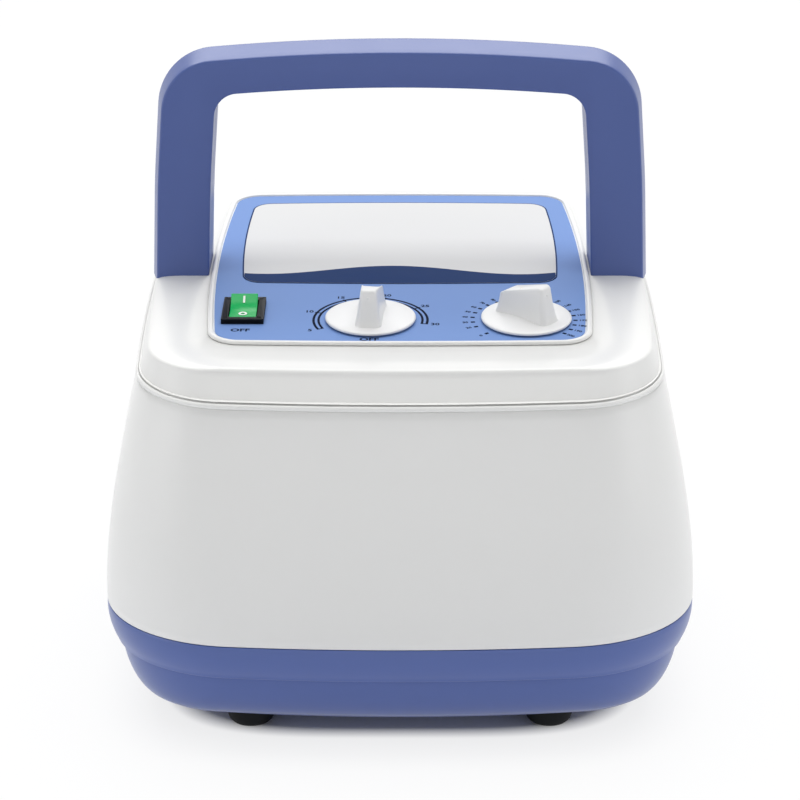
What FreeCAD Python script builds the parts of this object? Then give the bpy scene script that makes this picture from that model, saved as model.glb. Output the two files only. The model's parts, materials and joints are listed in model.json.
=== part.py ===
import FreeCAD, Part
import Sketcher
import math
import os
import re

from FreeCAD import Placement, Rotation, Vector

# A table-top air pump for compression sleeves: blue tray, white tapered housing, tilted white lid
# with a control panel, and a blue arch handle. Millimetres, +Z up, +Y away from the user.
# The origin is on the floor below the middle of the handle.

SIZES = {
    # outer shell, as rounded rings with slightly bowed sides
    "seam_height": 42.5, "seam_half_width": 108.45, "seam_half_depth": 116.75, "seam_corner": 52.0,
    "seam_side_bow": 5.25, "seam_end_bow": 9.5,
    "rim_height": 29.3, "rim_taper_width": 2.85, "rim_taper_depth": 3.55, "rim_corner": 48.2,
    "bowl_step": 1.9, "step_height": 0.4, "bowl_height": 10.4, "bowl_taper_width": 10.9,
    "bowl_taper_depth": 12.0, "bowl_corner": 30.5, "tray_underside": 9.0, "underside_inset": 6.6,
    "lid_side_height": 11.3, "joint_taper_width": 14.65, "joint_taper_depth": 12.55,
    "joint_corner": 33.0, "joint_side_bow": 3.65, "joint_end_bow": 5.7, "wall_belly": 2.7,
    "lid_height": 149.3, "lid_taper_width": 2.6, "lid_taper_depth": 7.0, "lid_corner": 25.5,
    "lid_side_bow": 5.0, "lid_end_bow": 4.8, "lid_edge_drop": 1.6, "lid_edge_inset": 1.2,
    "lid_side_inset": 9.0, "bead_proud": 0.7, "bead_thickness": 1.3,
    "panel_tilt": 7.0, "shell_wall": 2.6,
    # control panel; its own axes start at the knob row
    "knob_row_y": -54.8, "label_middle": 54.8, "label_inset": 25.6, "label_half_length": 73.95,
    "label_corner": 9.5, "label_bow": 3.8, "label_end_bow": 1.5, "label_thickness": 0.3,
    "frame_margin": 2.3, "frame_width": 1.9, "frame_rise": 1.5, "panel_flange": 0.6,
    "panel_plate": 2.4, "window_inset": 3.0, "window_gap": 0.3,
    "info_middle": 77.0, "info_inset": 8.9, "info_half_length": 42.8, "info_corner": 7.0,
    "info_thickness": 0.15,
    # rocker switch
    "switch_inset": 12.2, "switch_row": 6.4, "bezel_width": 15.1, "bezel_length": 20.6,
    "bezel_thickness": 1.9, "switch_width": 12.6, "switch_length": 19.4, "switch_depth": 18.0,
    "switch_well_width": 10.6, "switch_well_length": 18.4, "switch_well_depth": 7.4,
    "rocker_width": 9.8, "rocker_reach": 8.2, "rocker_rise": 4.2, "rocker_waist": 2.6,
    "rocker_keel": 4.0, "rocker_keel_half": 3.0, "rocker_pivot_sink": 0.7,
    "rocker_angle": 10.0, "rocker_pin_radius": 1.0,
    "rocker_pin_reach": 6.2, "tab_width": 6.3, "tab_thickness": 0.8, "tab_length": 8.0,
    "tab_spacing": 5.0,
    # knobs and what they turn
    "timer_x": -10.5, "pressure_inset": 23.2, "knob_radius": 16.15, "knob_clearance": 0.5,
    "knob_skirt": 1.3, "knob_top_radius": 14.6, "knob_height": 14.2, "grip_length": 23.4,
    "grip_width": 8.4, "grip_taper": 8.0, "grip_drop": 6.0, "nut_recess_radius": 6.4, "nut_recess": 1.3,
    "shaft_radius": 3.0, "fit_gap": 0.05, "bushing_radius": 4.0, "bushing_rise": 2.4,
    "nut_across": 10.0, "nut_thickness": 1.2, "shaft_seat": 0.2,
    "timer_case_width": 46.0, "timer_case_length": 28.0, "timer_case_depth": 26.0,
    "shaft_depth": 16.0, "shaft_top": 11.0,
    "valve_width": 26.0, "valve_depth": 30.0, "needle_depth": 22.0, "pressure_rest_angle": 48.0,
    # handle
    "handle_inset": 3.0, "handle_knee_height": 183.0, "handle_knee_lean": 1.45,
    "handle_top_lean": 3.4, "handle_leg": 19.4, "handle_front": 11.0, "handle_root": 3.2,
    "handle_top": 231.4, "handle_bar": 12.8, "handle_crown_radius": 790.0, "handle_corner": 20.0,
    "handle_inner_corner": 9.0, "handle_side_crest": 2.2, "handle_top_crest": 3.6,
    "handle_screw_inset": 11.3, "handle_screw_y": 5.4, "handle_screw_grip": 12.0,
    "handle_screw_hole": 15.0,
    # feet and screws
    "foot_inset_x": 40.7, "foot_inset_y": 19.2, "foot_boss_drop": 4.0, "foot_screw_drop": 7.0,
    "foot_radius": 8.8, "foot_base_radius": 5.6,
    "foot_bore": 2.2, "foot_seat": 2.0, "screw_radius": 2.0, "screw_head": 3.6,
    "screw_head_height": 2.2, "head_recess_gap": 0.2, "small_screw_radius": 1.5,
    "small_screw_head": 2.8, "thin_head_height": 1.6, "screw_bite": 3.0, "chassis_tip_gap": 3.9,
    "case_screw_inset_x": 21.7, "case_screw_inset_y": 22.2, "boss_radius": 5.0, "post_height": 24.0,
    "post_reach": 40.0, "lid_screw_inset_x": 17.8, "lid_screw_inset_y": 20.2,
    "bracket_thickness": 4.0, "bracket_reach": 26.0,
    # chassis
    "chassis_to_axis": 38.0, "chassis_thickness": 1.5, "chassis_inset_x": 16.7,
    "chassis_inset_y": 17.2, "chassis_corner": 34.0, "standoff_x": 56.0, "standoff_y": 60.0,
    # linear diaphragm pump, axis along X
    "pump_forward": 32.5, "pump_axis_height": 62.0, "mount_radius": 7.0, "mount_height": 10.0,
    "mount_x": 34.0, "mount_y": 18.0, "pump_base_width": 96.0, "pump_base_depth": 56.0,
    "pump_base_thickness": 3.0, "pump_wall_x": 42.0, "pump_wall": 4.0, "head_size": 44.0,
    "head_thickness": 16.0, "head_chamber_radius": 14.0, "head_chamber": 6.0,
    "diaphragm_thickness": 2.0, "diaphragm_radius": 20.0, "hub_radius": 8.0, "hub_reach": 49.0,
    "armature_width": 6.0, "armature_height": 12.0, "magnet_width": 8.0, "magnet_length": 12.0,
    "magnet_height": 16.0, "magnet_x": 21.0, "core_length": 50.0, "core_leg": 8.0,
    "core_height": 20.0, "core_yoke": 8.0, "core_offset": 16.0, "core_gap": 5.5,
    "coil_length": 28.0, "coil_build": 6.0, "coil_gap": 0.1, "head_screw_offset": 17.5,
    "filter_radius": 9.0, "filter_height": 8.0,
    # rotary distributor
    "valve_to_bay": 56.0, "motor_radius": 25.0, "motor_height": 16.0, "motor_shaft_radius": 2.5,
    "motor_shaft_depth": 9.0, "cover_rise": 23.0, "cover_thickness": 2.0, "block_width": 64.0,
    "block_depth": 52.0, "block_height": 18.0, "rotor_radius": 19.0, "rotor_thickness": 6.0,
    "rotor_gap": 0.3, "valve_leg_radius": 4.0, "valve_leg_x": 27.0, "valve_leg_y": 21.0,
    "barb_radius": 3.0, "barb_length": 10.0, "barb_bore": 1.6, "tube_wall": 1.2,
    "port_spacing": 14.0, "bleed_x": 24.0, "tube_bend": 13.0,
    "bleed_bend": 40.0, "bleed_run": 26.0, "bleed_fall": 6.0,
    # rear bay with hose outlets, fuse and power inlet
    "bay_half_width": 74.0, "bay_low": 46.0, "bay_high": 96.0, "bay_depth": 18.75,
    "outlet_plate_width": 66.0, "outlet_plate_height": 18.0, "outlet_plate_thickness": 3.0,
    "nipple_radius": 4.0, "nipple_length": 13.0, "outlet_screw_x": 29.5,
    "inlet_x": 56.0, "inlet_height": 70.0, "inlet_flange_width": 28.0,
    "inlet_flange_height": 48.0, "inlet_flange": 2.5, "inlet_width": 20.5, "inlet_length": 28.0,
    "inlet_depth": 18.0, "inlet_wall": 2.0, "inlet_screw_spacing": 40.0, "pin_width": 2.0,
    "pin_height": 4.0, "pin_spacing": 7.0, "pin_offset": 2.0, "pin_front": 4.0, "pin_tail": 9.0,
    "fuse_x": -56.0, "fuse_cap_radius": 7.0, "fuse_cap": 7.0, "fuse_radius": 6.0,
    "fuse_depth": 25.0, "fuse_tail": 6.0, "terminal_width": 34.0, "terminal_depth": 14.0,
    "terminal_height": 15.0, "terminal_x": 30.0, "terminal_inset": 10.0, "lead_radius": 1.1,
    "lead_side": 76.0, "lead_bend": 40.0, "lead_high": 98.0, "lead_low": 50.0, "lead_run": 20.0,
    "seat_gap": 0.3,
}

# places and sizes that follow from the ones above
DERIVED = {
    "rim_half_width": "seam_half_width - rim_taper_width",
    "rim_half_depth": "seam_half_depth - rim_taper_depth",
    "bowl_half_width": "rim_half_width - bowl_taper_width",
    "bowl_half_depth": "rim_half_depth - bowl_taper_depth",
    "joint_half_width": "seam_half_width - joint_taper_width",
    "joint_half_depth": "seam_half_depth - joint_taper_depth",
    "lid_half_width": "joint_half_width - lid_taper_width",
    "lid_half_depth": "joint_half_depth - lid_taper_depth",
    "lid_joint_height": "lid_height - lid_side_height",
    "label_half_width": "joint_half_width - label_inset",
    "info_half_width": "label_half_width - info_inset",
    "switch_x": "switch_inset - label_half_width",
    "pressure_x": "label_half_width - pressure_inset",
    "handle_half_width": "joint_half_width - handle_inset",
    "handle_screw_x": "handle_half_width - handle_screw_inset",
    "foot_x": "bowl_half_width - foot_inset_x",
    "foot_y": "bowl_half_depth - foot_inset_y",
    "case_screw_x": "bowl_half_width - case_screw_inset_x",
    "case_screw_y": "bowl_half_depth - case_screw_inset_y",
    "lid_screw_x": "joint_half_width - lid_screw_inset_x",
    "lid_screw_y": "joint_half_depth - lid_screw_inset_y",
    "chassis_height": "pump_axis_height - chassis_to_axis",
    "cover_height": "chassis_height + cover_rise",
    "chassis_screw_length": "chassis_height + chassis_thickness - tray_underside - shell_wall"
                            " - chassis_tip_gap",
    "chassis_width": "2 * (bowl_half_width - chassis_inset_x)",
    "chassis_depth": "2 * (bowl_half_depth - chassis_inset_y)",
    "terminal_y": "terminal_inset - chassis_depth / 2",
    "bay_floor": "seam_half_depth - bay_depth",
    "valve_y": "bay_floor - valve_to_bay",
    "pump_y": "valve_y / 4 - pump_forward",
    "label_top": "panel_flange + label_thickness",
}

doc = FreeCAD.newDocument("CompressionPump")
sheet = doc.addObject("Spreadsheet::Sheet", "Sizes")
for row, (name, value) in enumerate(SIZES.items(), 1):
    sheet.set(f"A{row}", name)
    sheet.set(f"B{row}", str(value))
    sheet.setAlias(f"B{row}", name)
for row, (name, formula) in enumerate(DERIVED.items(), len(SIZES) + 1):
    sheet.set(f"A{row}", name)
    sheet.set(f"B{row}", f"={formula}")
    sheet.setAlias(f"B{row}", name)
doc.recompute()

nodes = []


def v(name):
    """One size from the sheet."""
    return float(getattr(sheet, name))


TILT = math.radians(v("panel_tilt"))


def bind(thing, prop, expression):
    """Tie a property to the sheet; bare size names are looked up in it."""
    known = lambda m: "Sizes." + m[0] if m[0] in SIZES or m[0] in DERIVED else m[0]
    named = re.sub(r"[a-z_]\w*", known, str(expression))
    thing.setExpression(prop, named)


def node(thing, label):
    """Keep a finished piece under its own name."""
    thing.Label = label
    nodes.append(thing)
    return thing


def node_from_shape(shape, label, placement=None):
    """A piece whose shape comes from Part's own functions."""
    feature = doc.addObject("Part::Feature", label)
    feature.Shape = shape
    if placement:
        feature.Placement = placement.multiply(feature.Placement)
    return node(feature, label)


# ---------------------------------------------------------------- placing

TURNS = {
    "up": Rotation(),
    "down": Rotation(Vector(1, 0, 0), 180),
    "right": Rotation(Vector(0, 1, 0), 90),
    "left": Rotation(Vector(0, 1, 0), -90),
    "back": Rotation(Vector(1, 0, 0), -90),
    "front": Rotation(Vector(1, 0, 0), 90),
}


def place(thing, x="0", y="0", z="0", facing="up"):
    thing.Placement = Placement(Vector(), TURNS[facing])
    bind(thing, "Placement.Base.x", x)
    bind(thing, "Placement.Base.y", y)
    bind(thing, "Placement.Base.z", z)
    return thing


def place_on_panel(thing, x="0", along="0", above="0", turned=0):
    """Panel axes: x to the right, along the slope from the knob row, above the lid's top face."""
    tilt = Rotation(Vector(1, 0, 0), v("panel_tilt"))
    turn = Rotation(Vector(0, 0, 1), turned)
    thing.Placement = Placement(Vector(), tilt.multiply(turn))
    bind(thing, "Placement.Base.x", x)
    bind(thing, "Placement.Base.y", f"knob_row_y + ({along}) * cos(panel_tilt) - ({above}) * sin(panel_tilt)")
    bind(thing, "Placement.Base.z", f"lid_height + knob_row_y * tan(panel_tilt) + ({along}) * sin(panel_tilt)"
                                    f" + ({above}) * cos(panel_tilt)")
    return thing


def panel_placement():
    """The panel's axes as a placement, for shapes that are worked out in them."""
    start = Vector(0, v("knob_row_y"), v("lid_height") + v("knob_row_y") * math.tan(TILT))
    return Placement(start, Rotation(Vector(1, 0, 0), v("panel_tilt")))


# ---------------------------------------------------------------- primitives and booleans

def cylinder(radius, height, x="0", y="0", z="0", facing="up"):
    solid = doc.addObject("Part::Cylinder", "Cylinder")
    bind(solid, "Radius", radius)
    bind(solid, "Height", height)
    return place(solid, x, y, z, facing)


def box(length, width, height, x="0", y="0", z="0"):
    """A box centred on x and y that stands on z."""
    solid = doc.addObject("Part::Box", "Box")
    bind(solid, "Length", length)
    bind(solid, "Width", width)
    bind(solid, "Height", height)
    return place(solid, f"({x}) - ({length}) / 2", f"({y}) - ({width}) / 2", z)


def panel_box(length, width, height, x, along, above):
    """A box in the panel's axes, centred on x and along, from above upwards."""
    solid = doc.addObject("Part::Box", "PanelBox")
    bind(solid, "Length", length)
    bind(solid, "Width", width)
    bind(solid, "Height", height)
    return place_on_panel(solid, f"({x}) - ({length}) / 2", f"({along}) - ({width}) / 2", above)


def fuse(*things):
    joined = doc.addObject("Part::MultiFuse", "Fuse")
    joined.Shapes = list(things)
    return joined


def cut(base, *tools):
    result = doc.addObject("Part::Cut", "Cut")
    result.Base = base
    result.Tool = tools[0] if len(tools) == 1 else fuse(*tools)
    return result


def group(things, label):
    """Separate solids that share one node."""
    bunch = doc.addObject("Part::Compound", label)
    bunch.Links = list(things)
    return node(bunch, label)


# ---------------------------------------------------------------- PartDesign bodies

def new_body(label):
    return node(doc.addObject("PartDesign::Body", label), label)


def new_sketch(body, name, plane="XY_Plane", offset="0"):
    sketch = body.newObject("Sketcher::SketchObject", name)
    origin_plane = [item for item in body.Origin.OriginFeatures if item.Role == plane][0]
    sketch.AttachmentSupport = [(origin_plane, "")]
    sketch.MapMode = "FlatFace"
    bind(sketch, "AttachmentOffset.Base.z", offset)
    return sketch


def draw_polygon(sketch, points):
    """A closed outline whose corners are tied to the sheet."""
    count = len(points)
    first = sketch.GeometryCount
    spread = [Vector(math.cos(2 * math.pi * k / count), math.sin(2 * math.pi * k / count), 0) * 10
              for k in range(count)]
    for k in range(count):
        sketch.addGeometry(Part.LineSegment(spread[k], spread[(k + 1) % count]), False)
    for k in range(count):
        sketch.addConstraint(Sketcher.Constraint("Coincident", first + k, 2, first + (k + 1) % count, 1))
    for k, (across, along) in enumerate(points):
        pin_point(sketch, first + k, 1, across, along, spread[k])


def draw_circle(sketch, radius, across="0", along="0"):
    first = sketch.GeometryCount
    sketch.addGeometry(Part.Circle(Vector(1, 1, 0), Vector(0, 0, 1), 2), False)
    number = sketch.addConstraint(Sketcher.Constraint("Radius", first, 2.0))
    bind(sketch, f"Constraints[{number}]", radius)
    pin_point(sketch, first, 3, across, along, Vector(1, 1, 0))


def pin_point(sketch, edge, end, across, along, start):
    for kind, expression, value in (("DistanceX", across, start.x), ("DistanceY", along, start.y)):
        number = sketch.addConstraint(Sketcher.Constraint(kind, -1, 1, edge, end, value))
        bind(sketch, f"Constraints[{number}]", expression)


def rectangle_points(width, depth):
    return [(f"-({width}) / 2", f"-({depth}) / 2"), (f"({width}) / 2", f"-({depth}) / 2"),
            (f"({width}) / 2", f"({depth}) / 2"), (f"-({width}) / 2", f"({depth}) / 2")]


def pad(body, sketch, length, taper=None, name="Pad"):
    feature = body.newObject("PartDesign::Pad", name)
    feature.Profile = sketch
    bind(feature, "Length", length)
    if taper:
        bind(feature, "TaperAngle", taper)
    doc.recompute()
    return feature


def pocket(body, sketch, length, name="Pocket", reverse=False, middle=False):
    before = body.Shape.Volume
    feature = body.newObject("PartDesign::Pocket", name)
    feature.Profile = sketch
    feature.Reversed = reverse
    if middle:
        feature.SideType = "Symmetric"
    bind(feature, "Length", length)
    doc.recompute()
    if body.Shape.Volume > before - 1e-6:
        raise ValueError(f"{body.Label}: {name} cuts nothing")
    return feature


def revolve(body, sketch, name="Revolution"):
    """Turn a profile drawn in the XZ plane about the body's Z axis."""
    feature = body.newObject("PartDesign::Revolution", name)
    feature.Profile = sketch
    feature.ReferenceAxis = (sketch, ["V_Axis"])
    feature.Angle = 360
    doc.recompute()
    return feature


# ---------------------------------------------------------------- bowed rings and shells

def ring_wire(half_width, half_depth, corner, side_bow, end_bow):
    """Eight tangent arcs: four bowed sides and four round corners, in the XY plane."""
    side_radius = (half_depth ** 2 + side_bow ** 2) / (2 * side_bow)
    end_radius = (half_width ** 2 + end_bow ** 2) / (2 * end_bow)
    side_centre = Vector(half_width - side_radius, 0, 0)
    end_centre = Vector(0, half_depth - end_radius, 0)
    # the corner's centre lies where both sides, moved inwards by the corner radius, cross
    reach_a = side_radius - corner
    reach_b = end_radius - corner
    gap = end_centre - side_centre
    span = gap.Length
    along = (reach_a ** 2 - reach_b ** 2 + span ** 2) / (2 * span)
    off = math.sqrt(reach_a ** 2 - along ** 2)
    unit = gap * (1 / span)
    normal = Vector(-unit.y, unit.x, 0)
    candidates = [side_centre + unit * along + normal * side for side in (off, -off)]
    centre = max(candidates, key=lambda point: point.x + point.y)
    side_touch = side_centre + (centre - side_centre).normalize() * side_radius
    end_touch = end_centre + (centre - end_centre).normalize() * end_radius
    corner_middle = centre + Vector(side_touch.x + end_touch.x - 2 * centre.x,
                                    side_touch.y + end_touch.y - 2 * centre.y, 0).normalize() * corner
    right = Vector(half_width, 0, 0)
    back = Vector(0, half_depth, 0)
    flip_x = lambda p: Vector(-p.x, p.y, 0)
    flip_y = lambda p: Vector(p.x, -p.y, 0)
    spin = lambda p: Vector(-p.x, -p.y, 0)
    arcs = [
        (flip_y(side_touch), right, side_touch),
        (side_touch, corner_middle, end_touch),
        (end_touch, back, flip_x(end_touch)),
        (flip_x(end_touch), flip_x(corner_middle), flip_x(side_touch)),
        (flip_x(side_touch), flip_x(right), spin(side_touch)),
        (spin(side_touch), spin(corner_middle), spin(end_touch)),
        (spin(end_touch), flip_y(back), flip_y(end_touch)),
        (flip_y(end_touch), flip_y(corner_middle), flip_y(side_touch)),
    ]
    return Part.Wire([Part.Arc(*arc).toShape() for arc in arcs])


def bows(name):
    return v(name + "_side_bow"), v(name + "_end_bow")


def shell_ring(half_width, half_depth, corner, height, bow, tilt=0.0):
    """One ring of the outer shell; a tilted ring keeps its height at Y = 0."""
    wire = ring_wire(half_width, half_depth / math.cos(math.radians(tilt)), corner, *bow)
    wire.Placement = Placement(Vector(0, 0, height), Rotation(Vector(1, 0, 0), tilt))
    return wire


def loft(rings):
    return Part.makeLoft(rings, True, False)


def panel_face(half_width, half_length, corner, side_bow, end_bow, middle):
    """A bowed outline in the panel's axes."""
    face = Part.Face(ring_wire(half_width, half_length, corner, side_bow, end_bow))
    face.translate(Vector(0, middle, 0))
    return face


def raised(face, low, high):
    face = face.copy()
    face.translate(Vector(0, 0, low))
    return face.extrude(Vector(0, 0, high - low))


CORNERS = [(1, 1), (-1, 1), (-1, -1), (1, -1)]


def between(first, second, part):
    return tuple(a + (b - a) * part for a, b in zip(first, second))


def ring_size(name, grow=0.0):
    return v(name + "_half_width") + grow, v(name + "_half_depth") + grow, v(name + "_corner") + grow


BOWL_PROFILE = 1.68
RIM_BELLY = 0.8


def tray_rings():
    """The bowl and the rim of the tray, each from below."""
    bow = bows("seam")
    low = v("tray_underside")
    height = v("bowl_height")
    top = v("rim_height") - v("step_height")
    foot = ring_size("bowl")
    step = ring_size("rim", -v("bowl_step"))
    bowl = [shell_ring(*ring_size("bowl", -v("underside_inset")), low, bow),
            shell_ring(*ring_size("bowl", -v("underside_inset") * 0.3), low + (height - low) * 0.36, bow),
            shell_ring(*foot, height, bow)]
    for part in (0.25, 0.5, 0.75, 1.0):
        swell = (1 - (1 - part) ** BOWL_PROFILE) ** (1 / BOWL_PROFILE)
        bowl.append(shell_ring(*between(foot, step, swell), height + (top - height) * part, bow))
    rim = [shell_ring(*ring_size("rim"), top, bow),
           shell_ring(*between(ring_size("rim"), ring_size("seam"), RIM_BELLY),
                      (top + v("seam_height")) / 2, bow),
           shell_ring(*ring_size("seam"), v("seam_height"), bow)]
    return bowl, rim


def wall_rings(inset):
    """The housing wall from the seam to the lid joint, turning from level to tilted."""
    rings = []
    for part in (0.0, 0.25, 0.5, 0.75, 1.0):
        belly = v("wall_belly") * 4 * part * (1 - part) * (1 + 0.25 * (1 - 2 * part))
        width, depth, corner = between(ring_size("seam"), ring_size("joint"), part)
        height = v("seam_height") + (v("lid_joint_height") - v("seam_height")) * part
        rings.append(shell_ring(width + belly - inset, depth + belly - inset, corner - inset * 0.5, height,
                                between(bows("seam"), bows("joint"), part), v("panel_tilt") * part))
    return rings


def corner_post(x, y, radius, low, high, reach):
    """A round post with a diagonal rib out to the corner of the shell."""
    post = Part.makeCylinder(radius, high - low, Vector(x, y, low))
    rib = Part.makeBox(reach, v("shell_wall"), high - low, Vector(0, -v("shell_wall") / 2, low))
    rib.rotate(Vector(), Vector(0, 0, 1), math.degrees(math.atan2(y, x)))
    rib.translate(Vector(x, y, 0))
    return post.fuse(rib)


# ---------------------------------------------------------------- shells

def base_tray():
    bowl, rim = tray_rings()
    outer = loft(bowl).fuse(loft(rim))
    floor = v("tray_underside") + v("shell_wall")
    wall = v("shell_wall")
    bow = bows("seam")
    foot = ring_size("bowl", -wall - 1)
    step = ring_size("rim", -v("bowl_step") - wall)
    cavity = loft([shell_ring(*foot, floor, bow),
                   shell_ring(*between(foot, step, 0.8), (floor + v("rim_height")) / 2, bow),
                   shell_ring(*step, v("rim_height"), bow)])
    upper_cavity = loft([shell_ring(*step, v("rim_height"), bow),
                         shell_ring(*ring_size("seam", -wall), v("seam_height") + v("fit_gap"), bow)])
    tray = outer.cut(cavity.fuse(upper_cavity))
    added = []
    holes = []
    low = v("tray_underside")
    foot_boss = v("chassis_height") - v("foot_boss_drop")
    for side, end in CORNERS:
        at = lambda x, y, z: Vector(side * v(x), end * v(y), z)
        added.append(Part.makeCylinder(v("boss_radius"), v("seam_height") - floor,
                                       at("case_screw_x", "case_screw_y", floor)))
        added.append(Part.makeCylinder(v("boss_radius"), v("chassis_height") - floor,
                                       at("standoff_x", "standoff_y", floor)))
        added.append(Part.makeCylinder(v("boss_radius"), foot_boss - floor, at("foot_x", "foot_y", floor)))
        loose = v("screw_radius") + v("fit_gap")
        holes.append(Part.makeCylinder(loose, v("seam_height"), at("case_screw_x", "case_screw_y", low)))
        holes.append(Part.makeCylinder(v("screw_head") + v("seat_gap"), v("screw_head_height"),
                                       at("case_screw_x", "case_screw_y", low)))
        holes.append(Part.makeCylinder(loose, v("chassis_height") - floor,
                                       at("standoff_x", "standoff_y", floor)))
        holes.append(Part.makeCylinder(loose, foot_boss - v("foot_seat") - low, at("foot_x", "foot_y", low)))
    tray = tray.fuse(added).cut(holes)
    node_from_shape(tray, "base_tray")


def main_housing():
    outer = loft(wall_rings(0))
    inner = loft(wall_rings(v("shell_wall")))
    wall = v("shell_wall")
    bay_height = v("bay_high") - v("bay_low")
    deep = 3 * v("bay_depth")
    bay = Part.makeBox(2 * v("bay_half_width"), deep, bay_height,
                       Vector(-v("bay_half_width"), v("bay_floor"), v("bay_low")))
    bay_shell = Part.makeBox(2 * (v("bay_half_width") + wall), deep, bay_height + 2 * wall,
                             Vector(-v("bay_half_width") - wall, v("bay_floor") - wall, v("bay_low") - wall))
    housing = outer.cut(inner.cut(bay_shell)).cut(bay)
    posts = []
    holes = []
    seam = v("seam_height")
    for side, end in CORNERS:
        x = side * v("case_screw_x")
        y = end * v("case_screw_y")
        post = corner_post(x, y, v("boss_radius"), seam, seam + v("post_height"), v("post_reach"))
        posts.append(post.common(outer))
        holes.append(Part.makeCylinder(v("screw_radius") + v("fit_gap"), v("post_height") - 3,
                                       Vector(x, y, seam)))
    joint = Placement(Vector(0, 0, v("lid_joint_height")), Rotation(Vector(1, 0, 0), v("panel_tilt")))
    low = -v("bracket_thickness")
    for side, end in CORNERS:
        x = side * v("lid_screw_x")
        y = end * v("lid_screw_y")
        bracket = corner_post(x, y, v("boss_radius"), low, 0, v("bracket_reach"))
        bracket.Placement = joint
        posts.append(bracket.common(outer))
        hole = Part.makeCylinder(v("screw_radius") + v("fit_gap"), -3 * low, Vector(x, y, 2 * low))
        hole.Placement = joint
        holes.append(hole)
    housing = housing.fuse(posts).cut(holes + rear_holes())
    node_from_shape(housing, "main_housing")


def rear_holes():
    """Openings through the floor of the rear bay."""
    start = v("bay_floor") - v("shell_wall") - 1
    depth = v("shell_wall") + 2
    back = Vector(0, 1, 0)
    holes = []
    for spot in range(4):
        x = (spot - 1.5) * v("port_spacing")
        holes.append(Part.makeCylinder(v("barb_radius") + v("tube_wall") + v("seat_gap"), depth,
                                       Vector(x, start, v("pump_axis_height")), back))
    for side in (-1, 1):
        holes.append(Part.makeCylinder(v("small_screw_radius") + v("fit_gap"), depth,
                                       Vector(side * v("outlet_screw_x"), start, v("pump_axis_height")), back))
        holes.append(Part.makeCylinder(v("small_screw_radius") + v("fit_gap"), depth,
                                       Vector(v("inlet_x"), start, v("inlet_height")
                                              + side * v("inlet_screw_spacing") / 2), back))
    gap = v("seat_gap")
    holes.append(Part.makeBox(v("inlet_width") + 2 * gap, depth, v("inlet_length") + 2 * gap,
                              Vector(v("inlet_x") - v("inlet_width") / 2 - gap, start,
                                     v("inlet_height") - v("inlet_length") / 2 - gap)))
    holes.append(Part.makeCylinder(v("fuse_radius") + v("fit_gap"), depth,
                                   Vector(v("fuse_x"), start, v("inlet_height")), back))
    return holes


def lid_outside():
    """The lid without its bead: leaning sides and a top that rolls off softly to the left and right."""
    tilt = v("panel_tilt")
    edge = v("lid_height") - v("lid_edge_drop")
    width, depth, corner = ring_size("lid")
    sides = [shell_ring(*ring_size("joint"), v("lid_joint_height"), bows("joint"), tilt),
             shell_ring(width, depth, corner, edge, bows("lid"), tilt)]
    cap = [sides[1]]
    for part, rise in ((0.35, 0.72), (1.0, 1.0)):
        cap.append(shell_ring(width - v("lid_side_inset") * part, depth - v("lid_edge_inset") * part,
                              corner - v("lid_edge_inset") * part, edge + v("lid_edge_drop") * rise,
                              bows("lid"), tilt))
    return loft(sides).fuse(loft(cap))


def top_lid():
    tilt = v("panel_tilt")
    joint = v("lid_joint_height")
    wall = v("shell_wall")
    outer = lid_outside()
    bead_low = shell_ring(*ring_size("joint", v("bead_proud")), joint, bows("joint"), tilt)
    bead = Part.Face(bead_low).extrude(panel_normal() * v("bead_thickness"))
    cavity = loft([shell_ring(*ring_size("joint", -wall), joint, bows("joint"), tilt),
                   shell_ring(*ring_size("lid", -wall), v("lid_height") - wall, bows("lid"), tilt)])
    lid = outer.fuse(bead).cut(cavity)
    at_panel = panel_placement()
    window = raised(label_outline(-v("window_inset")), -2 * wall, wall)
    window.Placement = at_panel
    lid = lid.cut(window)
    posts = []
    holes = []
    joint_frame = Placement(Vector(0, 0, joint), Rotation(Vector(1, 0, 0), tilt))
    depth = (v("lid_height") - joint) * math.cos(TILT) - wall / 2
    for side, end in CORNERS:
        x = side * v("lid_screw_x")
        y = end * v("lid_screw_y")
        post = Part.makeCylinder(v("boss_radius"), depth, Vector(x, y, 0))
        post.Placement = joint_frame
        hole = Part.makeCylinder(v("screw_radius") + v("fit_gap"), depth - wall, Vector(x, y, -1))
        hole.Placement = joint_frame
        posts.append(post.common(outer))
        holes.append(hole)
        screw_hole = Part.makeCylinder(v("screw_radius") + v("fit_gap"), 4 * wall, Vector(0, 0, -2 * wall))
        screw_hole.Placement = leg_frame(side, end)
        holes.append(screw_hole)
    node_from_shape(lid.fuse(posts).cut(holes), "top_lid")


def panel_normal():
    return Vector(0, -math.sin(TILT), math.cos(TILT))


def leg_frame(side, end):
    """The lid's top face where a handle screw passes."""
    y = end * v("handle_screw_y")
    height = v("lid_height") + y * math.tan(TILT)
    turn = Rotation(Vector(1, 0, 0), v("panel_tilt"))
    return Placement(Vector(side * v("handle_screw_x"), y, height), turn)


def label_outline(grow):
    return panel_face(v("label_half_width") + grow, v("label_half_length") + grow,
                      max(v("label_corner") + grow, 2.0), v("label_bow"), v("label_end_bow"),
                      v("label_middle"))


def panel_holes():
    """What passes through the panel, in its own axes."""
    reach = 30
    low = -reach / 2
    gap = v("seat_gap") / 2
    width = v("switch_width") + 2 * gap
    length = v("switch_length") + 2 * gap
    holes = [Part.makeBox(width, length, reach, Vector(v("switch_x") - width / 2,
                                                       v("switch_row") - length / 2, low))]
    for x in (v("timer_x"), v("pressure_x")):
        holes.append(Part.makeCylinder(v("bushing_radius") + v("fit_gap"), reach, Vector(x, 0, low)))
    return holes


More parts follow.
